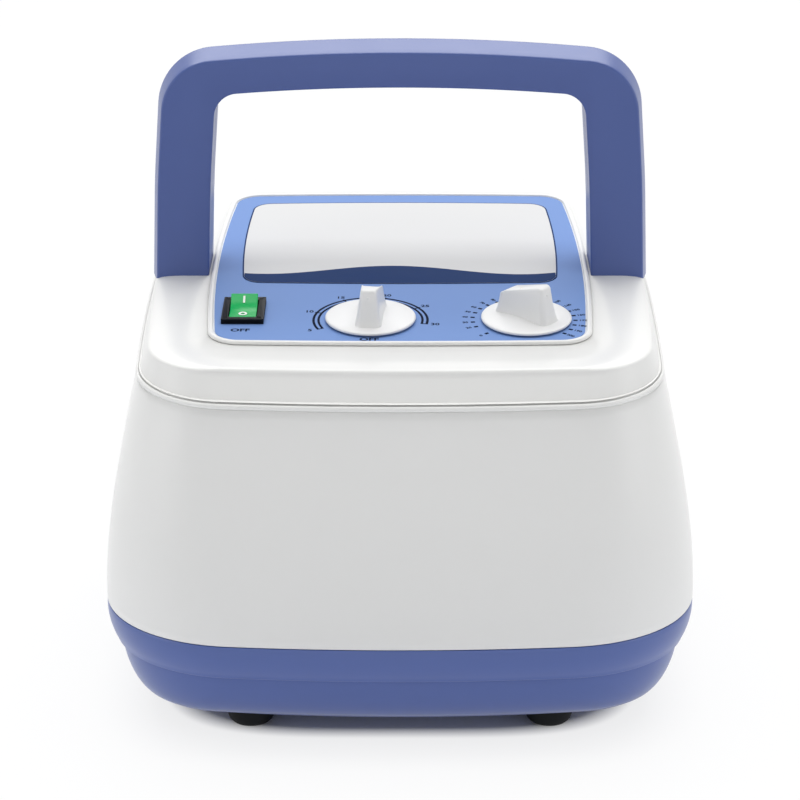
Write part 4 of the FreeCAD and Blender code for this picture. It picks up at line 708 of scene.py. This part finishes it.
graphics = {
    "thickness": 0.04,
    "timerX": -10.5,
    "pressureX": 45.0,
    "arcInner": (18.1, 18.95),
    "arcOuter": (19.85, 20.75),
    "timerFrom": 66.0,
    "timerTo": 280.0,
    "timerDigits": 2.7,
    "timerDigitRadius": 23.3,
    "pressureFrom": 70.0,
    "pressureStep": 13.44,
    "pressureZero": 48.0,
    "pressureShift": -0.85,
    "tickRadius": (17.6, 19.1),
    "tickWidth": 1.0,
    "pressureDigits": 1.75,
    "pressureDigitRadius": 21.1,
    "legend": 3.3,
    "widen": 1.18,
    "arcEnd": 1.6,
    "longTick": (0.4, 0.8),
    "timerOff": (-10.8, -17.5),
    "switchOff": (-56.4, -9.4),
}


def dialSpot(centreX, radius, clockwise):
    # angles run clockwise from the front, as the dials are read
    angle = math.radians(-90 - clockwise)
    return centreX + radius * math.cos(angle), radius * math.sin(angle)


def addText(bm, text, size, spot, heavy, turned=0.0):
    curve = bpy.data.curves.new("lettering", "FONT")
    curve.body = text
    curve.size = size
    curve.align_x = "CENTER"
    curve.align_y = "CENTER"
    curve.offset = heavy
    curve.extrude = graphics["thickness"] / 2
    curve.resolution_u = 4
    carrier = bpy.data.objects.new("lettering", curve)
    mesh = bpy.data.meshes.new_from_object(carrier)
    bpy.data.objects.remove(carrier)
    mesh.transform(Matrix.Translation((*spot, labelTop + graphics["thickness"] / 2))
                   @ Matrix.Rotation(math.radians(turned), 4, "Z")
                   @ Matrix.Scale(graphics["widen"], 4, (1, 0, 0)))
    bm.from_mesh(mesh)
    bpy.data.meshes.remove(mesh)


def addSector(bm, centreX, radii, fromAngle, toAngle, steps):
    # a strip swept clockwise about a dial's middle, then thickened
    known = set(bm.faces)
    ends = [bm.verts.new((*dialSpot(centreX, radius, fromAngle), labelTop)) for radius in radii]
    edge = bm.edges.new(ends)
    bmesh.ops.spin(bm, geom=[*ends, edge], cent=(centreX, 0, labelTop), axis=(0, 0, 1),
                   angle=math.radians(fromAngle - toAngle), steps=steps)
    pushOut(bm, [face for face in bm.faces if face not in known], (0, 0, graphics["thickness"]))


def buildTimerScale():
    bm = bmesh.new()
    start, end, middle = graphics["timerFrom"], graphics["timerTo"], graphics["timerX"]
    inner, outer = graphics["arcInner"], graphics["arcOuter"]
    longer, half = graphics["longTick"]
    for radii in (inner, outer):
        addSector(bm, middle, radii, start, end, 90)
    for angle in (start - graphics["arcEnd"], end):
        addSector(bm, middle, (inner[0], outer[1]), angle, angle + graphics["arcEnd"], 2)
    for number in range(6):
        angle = start + (end - start) * number / 5
        if 0 < number < 5:
            addSector(bm, middle, (inner[0], outer[1] + longer), angle - half, angle + half, 2)
        addText(bm, str(5 + 5 * number), graphics["timerDigits"],
                dialSpot(middle, graphics["timerDigitRadius"], angle), 0.06)
    for spot in (graphics["timerOff"], graphics["switchOff"]):
        addText(bm, "OFF", graphics["legend"], spot, 0.1)
    faceOut(bm)
    newPiece("timer_scale", bm, "case", "inkDark", matrix=panelMatrix())


def buildPressureScale():
    bm = bmesh.new()
    angles = [graphics["pressureZero"]]
    angles += [graphics["pressureFrom"] + graphics["pressureStep"] * k for k in range(19)]
    middle = graphics["pressureX"] + graphics["pressureShift"]
    half = math.degrees(graphics["tickWidth"] / 2 / graphics["tickRadius"][0])
    for number, angle in enumerate(angles):
        addSector(bm, middle, graphics["tickRadius"], angle - half, angle + half, 2)
        value = 0 if number == 0 else 10 + 10 * number
        lean = 90 - angle if angle < 180 else 270 - angle
        addText(bm, str(value), graphics["pressureDigits"],
                dialSpot(middle, graphics["pressureDigitRadius"], angle), 0.045, lean)
    faceOut(bm)
    newPiece("pressure_scale", bm, "case", "inkDark", matrix=panelMatrix())


wave = {
    "half": (59.3, 42.8, 7.0),
    "middle": 77.0,
    "top": labelTop + 0.15,
    "border": 0.55,
    "crest": 12.0,
    "swell": 5.2,
    "turns": (1.15, 0.55),
    "endRise": 3.0,
    "stride": 1.5,
    "thickness": 0.05,
    "borderInset": 0.03,
    "borderRise": 0.1,
}


def infoRing(grow, above):
    return [Vector((point.x, point.y + wave["middle"], above))
            for point in ringPoints(grown(wave["half"], grow), panel["sideBow"] * 0.5, panel["endBow"])]


def crestAt(x):
    share = x / wave["half"][0]
    turns, start = wave["turns"]
    swell = wave["swell"] * math.sin(math.pi * (share * turns + start)) + wave["endRise"] * share ** 2
    return wave["middle"] - wave["half"][1] + wave["crest"] + swell


def buildInfoWave():
    # a navy field along the front edge whose top runs in one long swell
    bm = bmesh.new()
    lower = [point for point in infoRing(-0.02, wave["top"]) if point.y < crestAt(point.x) - 0.05]
    lower.sort(key=lambda point: math.atan2(point.x, wave["middle"] - point.y))
    chain = lower[:1]
    for point in lower[1:]:
        last = chain[-1].copy()
        pieces = math.ceil((point - last).length / wave["stride"])
        chain += [last.lerp(point, k / pieces) for k in range(1, pieces + 1)]
    verts = [bm.verts.new(point) for point in chain]
    edges = [bm.edges.new(pair) for pair in zip(verts, verts[1:])]
    for vert in vertsOf(bmesh.ops.extrude_edge_only(bm, edges=edges)["geom"]):
        vert.co.y = crestAt(vert.co.x)
    pushOut(bm, bm.faces[:], (0, 0, wave["thickness"]))
    faceOut(bm)
    newPiece("info_wave", bm, "case", "labelNavy", matrix=panelMatrix())


def buildInfoBorder():
    inset, high = wave["borderInset"], labelTop + wave["borderRise"]
    bm, first, last = skinFromRings([infoRing(inset, labelTop), infoRing(wave["border"], labelTop),
                                     infoRing(wave["border"], high), infoRing(inset, high)])
    bmesh.ops.bridge_loops(bm, edges=[bm.edges.get((loop[k], loop[k - 1])) for loop in (first, last)
                                      for k in range(len(loop))])
    faceOut(bm)
    newPiece("info_border", bm, "case", "labelNavy", matrix=panelMatrix())


buildTimerScale()
buildPressureScale()
buildInfoWave()
buildInfoBorder()
print("label printed")


handle = {
    "half": 90.8,
    "kneeHeight": 183.0,
    "kneeLean": 1.45,
    "topLean": 3.4,
    "leg": 19.4,
    "front": 11.0,
    "top": 231.4,
    "bar": 12.8,
    "crownRadius": 790.0,
    "corner": 20.0,
    "innerCorner": 9.0,
    "sideCrest": 2.2,
    "topCrest": 3.6,
    "root": 3.2,
    "frontRound": 0.7,
    "seamRound": 0.3,
    "arcSteps": 18,
    "crownSteps": 24,
    "kneeSteps": 6,
    "sharp": 30,
    "cutBelow": 4.0,
}


def crowned(top, halfLength, corner):
    slope = (halfLength - corner - 1) / handle["crownRadius"]
    middle = top + handle["crownRadius"] * (math.sqrt(1 + slope ** 2) - 1)
    return middle, middle - halfLength * slope


def roundedOutline(corners):
    # corners are (x, z, radius, steps); straight runs are joined by tangent arcs
    points = []
    spots = [Vector(corner[:2]) for corner in corners]
    for k, (*_, radius, steps) in enumerate(corners):
        here = spots[k]
        if radius == 0:
            points.append(here)
            continue
        before = (spots[k - 1] - here).normalized()
        after = (spots[(k + 1) % len(spots)] - here).normalized()
        half = before.angle(after) / 2
        reach = radius / math.tan(half)
        centre = here + (before + after).normalized() * (radius / math.sin(half))
        points.append(here + before * reach)
        points += arcPoints(centre, here + before * reach, here + after * reach, steps)
    return points


def archSide(foot, top, corner):
    # knee, shoulder and crown of one outline
    slope = handle["topLean"] / (handle["top"] - handle["kneeHeight"])
    kneeX = foot - handle["kneeLean"]
    shoulderX = kneeX - slope * (top - handle["kneeHeight"])
    crown, shoulder = crowned(top, shoulderX, corner)
    return kneeX, shoulderX, shoulder, crown


def archOutline(share, shrink=0.0):
    # share is 1 at the mid-plane's crest and 0 at the front face
    side = handle["sideCrest"] * share - shrink
    foot = handle["half"] + side
    outer = handle["corner"] + side
    top = handle["top"] + handle["topCrest"] * share - shrink
    kneeX, topX, shoulder, crown = archSide(foot, top, outer)
    inner = handle["innerCorner"] + shrink
    inFoot = handle["half"] - handle["leg"] + shrink
    inKneeX, inTopX, inShoulder, inCrown = archSide(inFoot, handle["top"] - handle["bar"] + shrink, inner)
    low = case["lidHeight"] - handle["root"]
    arc, sweep = handle["arcSteps"], handle["crownRadius"]
    knee = (handle["kneeHeight"], sweep / 2, handle["kneeSteps"])
    outside = [(-foot, low, 0, 0), (-kneeX, *knee), (-topX, shoulder, outer, arc)]
    inside = [(inFoot, low, 0, 0), (inKneeX, *knee), (inTopX, inShoulder, inner, arc)]

    def mirrored(half):
        return [(-corner[0], *corner[1:]) for corner in reversed(half)]

    return roundedOutline([*outside, (0, crown, sweep, handle["crownSteps"]), *mirrored(outside),
                           *inside, (0, inCrown, sweep, handle["crownSteps"]), *mirrored(inside)])


def lidCutter():
    # the lid's closed outside, which the handle's legs stand on
    foot = caseRing(case["joint"], case["jointHeight"] - handle["cutBelow"], case["tilt"], 1.0)
    bm = closedSkin([foot] + lidCap())
    bm.transform(toMetres)
    return newObject("lidSolid", bm)


def buildHandleHalf(name, node, end, cutter):
    # loops run from the mid-plane out to the front face, where they turn over a soft edge
    front = handle["front"]
    soft = handle["frontRound"]
    seam = handle["seamRound"]
    stations = [(0.02, seam), (seam, 0.0)]
    stations += [(seam + (front - soft - seam) * part, 0.0) for part in (0.25, 0.5, 0.75, 1.0)]
    for step in range(1, 5):
        angle = math.radians(90 * step / 4)
        stations.append((front - soft + soft * math.sin(angle), soft * (1 - math.cos(angle))))
    rings = [[Vector((point.x, end * depth, point.y)) for point in archOutline(1 - depth / front, shrink)]
             for depth, shrink in stations]
    bm = closedSkin(rings)
    piece = newPiece(name, bm, "case", "handleBlue", [node], handle["sharp"])
    subtract(piece, cutter)
    piece.data.set_sharp_from_angle(angle=math.radians(handle["sharp"]))


lidSolid = lidCutter()
buildHandleHalf("handle_front", "handle_front_shell", -1, lidSolid)
buildHandleHalf("handle_rear", "handle_rear_shell", 1, lidSolid)
bpy.data.objects.remove(lidSolid)
print("handle built")


knobShape = {
    "clearance": 0.5,
    "skirt": [(6.4, 0.0), (15.6, 0.0), (16.0, 0.12), (16.15, 0.4), (16.12, 0.7), (15.85, 1.0),
              (15.2, 1.15), (11.0, 1.5), (8.0, 1.85), (6.0, 2.15), (0.0, 2.4)],
    "under": [(6.4, 1.25), (0.0, 1.25)],
    "height": 14.2,
    "foot": 1.2,
    "drop": 6.0,
    "dropFrom": -1.0,
    "dropLength": 11.5,
    "dropPower": 1.15,
    # plan of the grip: value at the top, what a sloping side adds at the skirt, and what the flare adds
    "frontHalf": (2.75, 1.35, 0.7),
    "rearHalf": (3.9, 1.1, 0.5),
    "front": (-8.7, -2.5, -0.8),
    "rear": (10.3, 0.6, 0.5),
    "nose": (1.3, 1.2, 0.0),
    "heel": 2.4,
    "levels": (0, 0.03, 0.06, 0.1, 0.16, 0.24, 0.36, 0.5, 0.66, 0.82, 0.93),
    "topEdge": ((0.12, 0.965), (0.4, 0.99), (0.85, 1.0)),
    "topMiddle": 1.2,
    "indexRadius": 0.62,
    "indexSpot": (0, -9.2, 11.4),
}


def spinProfile(profile, steps=96):
    bm = bmesh.new()
    verts = [bm.verts.new((radius, 0, height)) for radius, height in profile]
    edges = [bm.edges.new(pair) for pair in zip(verts, verts[1:])]
    bmesh.ops.spin(bm, geom=verts + edges, cent=(0, 0, 0), axis=(0, 0, 1), angle=2 * math.pi, steps=steps,
                   use_merge=True, use_duplicate=False)
    bmesh.ops.remove_doubles(bm, verts=bm.verts, dist=1e-4)
    faceOut(bm)
    return bm


def gripRing(level):
    # plan of the grip at a level from 0 (skirt) to 1 (top); the pointer end faces the front
    fade = 1 - level
    frontHalf, rearHalf, front, rear, nose = (
        sum(value * share for value, share in zip(knobShape[key], (1, fade, fade ** 5)))
        for key in ("frontHalf", "rearHalf", "front", "rear", "nose"))
    heel = knobShape["heel"]
    outline = roundedOutline([(-rearHalf, rear, heel, 7), (rearHalf, rear, heel, 7),
                              (frontHalf, front, nose, 7), (-frontHalf, front, nose, 7)])
    points = []
    for point in outline:
        # the top is level near the pointer and falls away to the rear
        fall = max(0.0, point.y - knobShape["dropFrom"]) / knobShape["dropLength"]
        top = knobShape["height"] - knobShape["drop"] * fall ** knobShape["dropPower"]
        points.append(Vector((point.x, point.y, knobShape["foot"] + (top - knobShape["foot"]) * level)))
    return points


def buildKnob(name, node, body, x, turned):
    bm = spinProfile(knobShape["under"][::-1] + knobShape["skirt"])
    rings = [gripRing(level) for level in knobShape["levels"]]
    for inset, level in knobShape["topEdge"]:
        ring = gripRing(level)
        for point in ring:
            point -= Vector((point.x, point.y - knobShape["topMiddle"], 0)).normalized() * inset
        rings.append(ring)
    addInto(bm, closedSkin(rings))
    spot = panelMatrix(x, 0, labelTop + knobShape["clearance"], turned)
    newPiece(name, bm, body, "knobWhite", [node], 40, spot)
    dot = bmesh.new()
    bmesh.ops.create_icosphere(dot, subdivisions=3, radius=knobShape["indexRadius"])
    bmesh.ops.scale(dot, vec=(1, 0.35, 1), verts=dot.verts)
    bmesh.ops.translate(dot, vec=knobShape["indexSpot"], verts=dot.verts)
    newPiece(name + "_index", dot, body, "knobWhite", (), 60, spot)


buildKnob("timer_knob_cap", "timer_knob", "timer_dial", graphics["timerX"], -4)
buildKnob("pressure_knob_cap", "pressure_knob", "pressure_dial", graphics["pressureX"], 48)
print("knobs built")


switch = {
    "x": -56.0,
    "row": 6.4,
    "bezel": (15.1, 20.6, 1.9),
    "well": (10.4, 17.6, 6.0),
    "rockerHalf": 4.8,
    "reach": 8.1,
    "angle": 10.0,
    "pivotAbove": labelTop - 0.7,
    "corner": 0.9,
    "edge": 0.45,
    "crest": 4.15,
    "waist": 2.75,
    "rockerEdge": 0.28,
    "bar": (0.75, 3.6),
    "barPlace": 4.7,
    "ring": (1.55, 0.75),
    "ringPlace": -5.0,
    "markLift": 0.02,
}


def buildBezel():
    width, length, thickness = switch["bezel"]
    wellWidth, wellLength, wellDepth = switch["well"]
    bm = roundedPlate(width, length, thickness, switch["corner"], switch["edge"], 5)
    top = highestFace(bm)
    bmesh.ops.inset_region(bm, faces=[top], thickness=(width - wellWidth) / 2 - switch["edge"])
    longer = wellLength / 2 / max(abs(vert.co.y) for vert in top.verts)
    bmesh.ops.scale(bm, vec=(1, longer, 1), verts=list(top.verts))
    well = bmesh.ops.extrude_face_region(bm, geom=[top])["geom"]
    bmesh.ops.delete(bm, geom=[top], context="FACES")
    bmesh.ops.translate(bm, vec=(0, 0, -wellDepth), verts=vertsOf(well))
    faceOut(bm)
    newPiece("switch_bezel", bm, "case", "switchBlack", (), 35,
             panelMatrix(switch["x"], switch["row"], labelTop))


def buildRocker():
    # side view of the rocker at rest, front end pressed, drawn then carried across its width
    reach, crest, waist, half = (switch[key] for key in ("reach", "crest", "waist", "rockerHalf"))
    side = [(reach * 0.5, 3.2), (reach - 0.5, crest), (reach, 3.7), (reach, 0.6), (3, -4)]
    profile = [(0, waist), *side, *((-along, above) for along, above in reversed(side))]
    bm = bmesh.new()
    verts = [bm.verts.new((-half, along, above)) for along, above in profile]
    pushOut(bm, bmesh.ops.contextual_create(bm, geom=verts)["faces"], (2 * half, 0, 0))
    edges = [edge for edge in bm.edges if edge.is_manifold and edge.calc_face_angle(0) > math.radians(30)]
    roundEdges(bm, edges, switch["rockerEdge"])
    faceOut(bm)
    matrix = panelMatrix(switch["x"], switch["row"], switch["pivotAbove"]) @ Matrix.Rotation(
        math.radians(switch["angle"]), 4, "X")
    newPiece("rocker_cap", bm, "rocker", "switchGreen", ["switch_rocker"], 35, matrix)
    marks = bmesh.new()
    slope = math.atan2(crest - waist, reach - 0.5)

    def onSlope(turned, place):
        return (Matrix.Translation((0, 0, waist)) @ Matrix.Rotation(turned, 4, "X")
                @ Matrix.Translation((0, place, switch["markLift"])))

    spot = onSlope(slope, switch["barPlace"]) @ Matrix.Diagonal((*switch["bar"], 1, 1))
    bmesh.ops.create_grid(marks, x_segments=1, y_segments=1, size=0.5, matrix=spot)
    spot = onSlope(-slope, switch["ringPlace"])
    for radius in switch["ring"]:
        bmesh.ops.create_circle(marks, segments=32, radius=radius, matrix=spot)
    bmesh.ops.bridge_loops(marks, edges=[edge for edge in marks.edges if not edge.link_faces])
    bmesh.ops.solidify(marks, geom=marks.faces[:], thickness=0.05)
    faceOut(marks)
    newPiece("rocker_marks", marks, "rocker", "inkWhite", (), 60, matrix)


buildBezel()
buildRocker()
print("switch built")


footProfile = [(3.8, 0.0), (5.0, 0.0), (5.7, 0.1), (6.9, 0.6), (7.9, 1.6), (8.5, 3.2), (8.78, 5.2),
               (8.8, 7.6), (8.7, 8.7), (8.4, 9.0), (2.2, 9.0), (2.2, 4.2), (3.8, 4.2), (3.8, 0.0)]


def buildFeet():
    whole = bmesh.new()
    for x, y in cornerSpots("rubber_feet"):
        addInto(whole, spinProfile(footProfile, 48), Matrix.Translation((x, y, 0)))
    newPiece("foot_domes", whole, "case", "footRubber", ["rubber_feet"], 50)


buildFeet()
print("feet built")


rear = {
    "outletPlate": (66.0, 18.0, 3.0),
    "outletHeight": 62.0,
    "spacing": 14.0,
    "nippleProfile": [(1.6, -1.0), (1.6, 13.0), (2.6, 13.0), (3.3, 12.6), (4.0, 10.2), (3.55, 10.0),
                      (3.5, 8.2), (4.0, 7.0), (3.55, 6.8), (3.5, 5.0), (4.0, 3.8), (3.55, 3.6),
                      (3.5, 1.6), (3.9, 0.8), (4.6, 0.0)],
}


def buildOutlets():
    width, height, thickness = rear["outletPlate"]
    bm = roundedPlate(width, height, thickness, 3.0, 0.5)
    for k in range(4):
        addInto(bm, spinProfile(rear["nippleProfile"], 40),
                Matrix.Translation(((k - 1.5) * rear["spacing"], 0, thickness)))
    # local Z points out of the back of the case, local Y up
    facing = Matrix(((-1, 0, 0, 0), (0, 0, 1, 0), (0, 1, 0, 0), (0, 0, 0, 1)))
    spot = Matrix.Translation(Vector((0, housing["bayFloor"], rear["outletHeight"])) * mm)
    newPiece("hose_outlets", bm, "case", "worksPlastic", ["outlet_block"], 35,
             spot @ facing @ toMetres)


buildOutlets()
print("rear fittings built")


stage = {
    "floorSize": 12.0,
    "floorColour": (0.88, 0.89, 0.92),
    # painted shade: the rounded square under the pump, and how much of the floor's own shading the white
    # covers from there outwards
    "shade": (0.093, 0.099),
    "shadeStops": ((0.90, 0.0), (0.985, 0.80), (1.25, 0.92), (2.2, 0.97)),
    "worldLight": 0.34,
    "topLamp": (126.0, 3.5, (0.0, 1.05, 2.9)),
    "backLamp": (1.0, 2.2, (0.0, 2.3, 1.3)),
    "frontLamp": (3.0, 1.6, (0.0, -2.2, 0.2)),
    "leftLamp": (6.0, 1.2, (-1.8, -0.7, 0.5)),
    "rightLamp": (6.0, 1.2, (1.8, -0.7, 0.5)),
}


def seenDirectly(tree):
    # 1 for rays from the camera and for mirrored or refracted rays
    path = tree.nodes.new("ShaderNodeLightPath")
    mirrored = mathNode(tree, "MAXIMUM", path.outputs["Is Camera Ray"], path.outputs["Is Glossy Ray"])
    return mathNode(tree, "MAXIMUM", mirrored, path.outputs["Is Transmission Ray"])


def chosenShader(tree, factor, first, second):
    chooser = tree.nodes.new("ShaderNodeMixShader")
    tree.links.new(factor, chooser.inputs["Fac"])
    tree.links.new(first, chooser.inputs[1])
    tree.links.new(second, chooser.inputs[2])
    return chooser.outputs["Shader"]


def mathNode(tree, operation, first, second):
    node = tree.nodes.new("ShaderNodeMath")
    node.operation = operation
    for socket, value in zip(node.inputs, (first, second)):
        if isinstance(value, (int, float)):
            socket.default_value = value
        else:
            tree.links.new(value, socket)
    return node.outputs[0]


def buildFloor():
    bm = bmesh.new()
    bmesh.ops.create_grid(bm, x_segments=1, y_segments=1, size=stage["floorSize"] / 2)
    floor = newObject("floor", bm)
    material, tree, shader = newMaterial("floorWhite", stage["floorColour"], 0.5, specular=0.2)
    white = tree.nodes.new("ShaderNodeEmission")
    # painted shade: the white seen from the camera grows with the distance from a rounded square under the
    # pump, so the floor stays darker close to it and its shadow ends at that drawn edge
    coordinates = tree.nodes.new("ShaderNodeTexCoord")
    apart = tree.nodes.new("ShaderNodeSeparateXYZ")
    tree.links.new(coordinates.outputs["Object"], apart.inputs["Vector"])
    powers = []
    for k, half in enumerate(stage["shade"]):
        share = mathNode(tree, "ABSOLUTE", mathNode(tree, "DIVIDE", apart.outputs[k], half), 0)
        powers.append(mathNode(tree, "POWER", share, 4))
    distance = mathNode(tree, "POWER", mathNode(tree, "ADD", *powers), 0.25)
    ramp = tree.nodes.new("ShaderNodeValToRGB")
    farthest = stage["shadeStops"][-1][0]
    tree.links.new(mathNode(tree, "DIVIDE", distance, farthest), ramp.inputs["Fac"])
    while len(ramp.color_ramp.elements) < len(stage["shadeStops"]):
        ramp.color_ramp.elements.new(0.5)
    for element, (place, value) in zip(ramp.color_ramp.elements, stage["shadeStops"]):
        element.position = place / farthest
        element.color = (value, value, value, 1)
    factor = mathNode(tree, "MULTIPLY", ramp.outputs["Color"], seenDirectly(tree))
    seen = chosenShader(tree, factor, shader.outputs["BSDF"], white.outputs["Emission"])
    tree.links.new(seen, tree.nodes["Material Output"].inputs["Surface"])
    floor.data.materials.append(material)


def buildWorld():
    world = bpy.data.worlds.new("studio")
    bpy.context.scene.world = world
    world.use_nodes = True
    tree = world.node_tree
    shade = tree.nodes["Background"]
    white = tree.nodes.new("ShaderNodeBackground")
    for light, strength in ((shade, stage["worldLight"]), (white, 1.0)):
        light.inputs["Color"].default_value = (1, 1, 1, 1)
        light.inputs["Strength"].default_value = strength
    seen = chosenShader(tree, seenDirectly(tree), shade.outputs["Background"], white.outputs["Background"])
    tree.links.new(seen, tree.nodes["World Output"].inputs["Surface"])


def addLamp(name, power, size, place):
    data = bpy.data.lights.new(name, "AREA")
    data.size = size
    data.energy = power
    lamp = bpy.data.objects.new(name, data)
    lamp.location = place
    lamp.visible_camera = False
    aim = Vector((0, 0, 0.12)) - Vector(place)
    lamp.rotation_euler = aim.to_track_quat("-Z", "Y").to_euler()
    bpy.context.scene.collection.objects.link(lamp)


buildFloor()
buildWorld()
for lampName in ("topLamp", "backLamp", "frontLamp", "leftLamp", "rightLamp"):
    addLamp(lampName, *stage[lampName])
bpy.context.scene.view_settings.view_transform = "Standard"
print("stage lit")
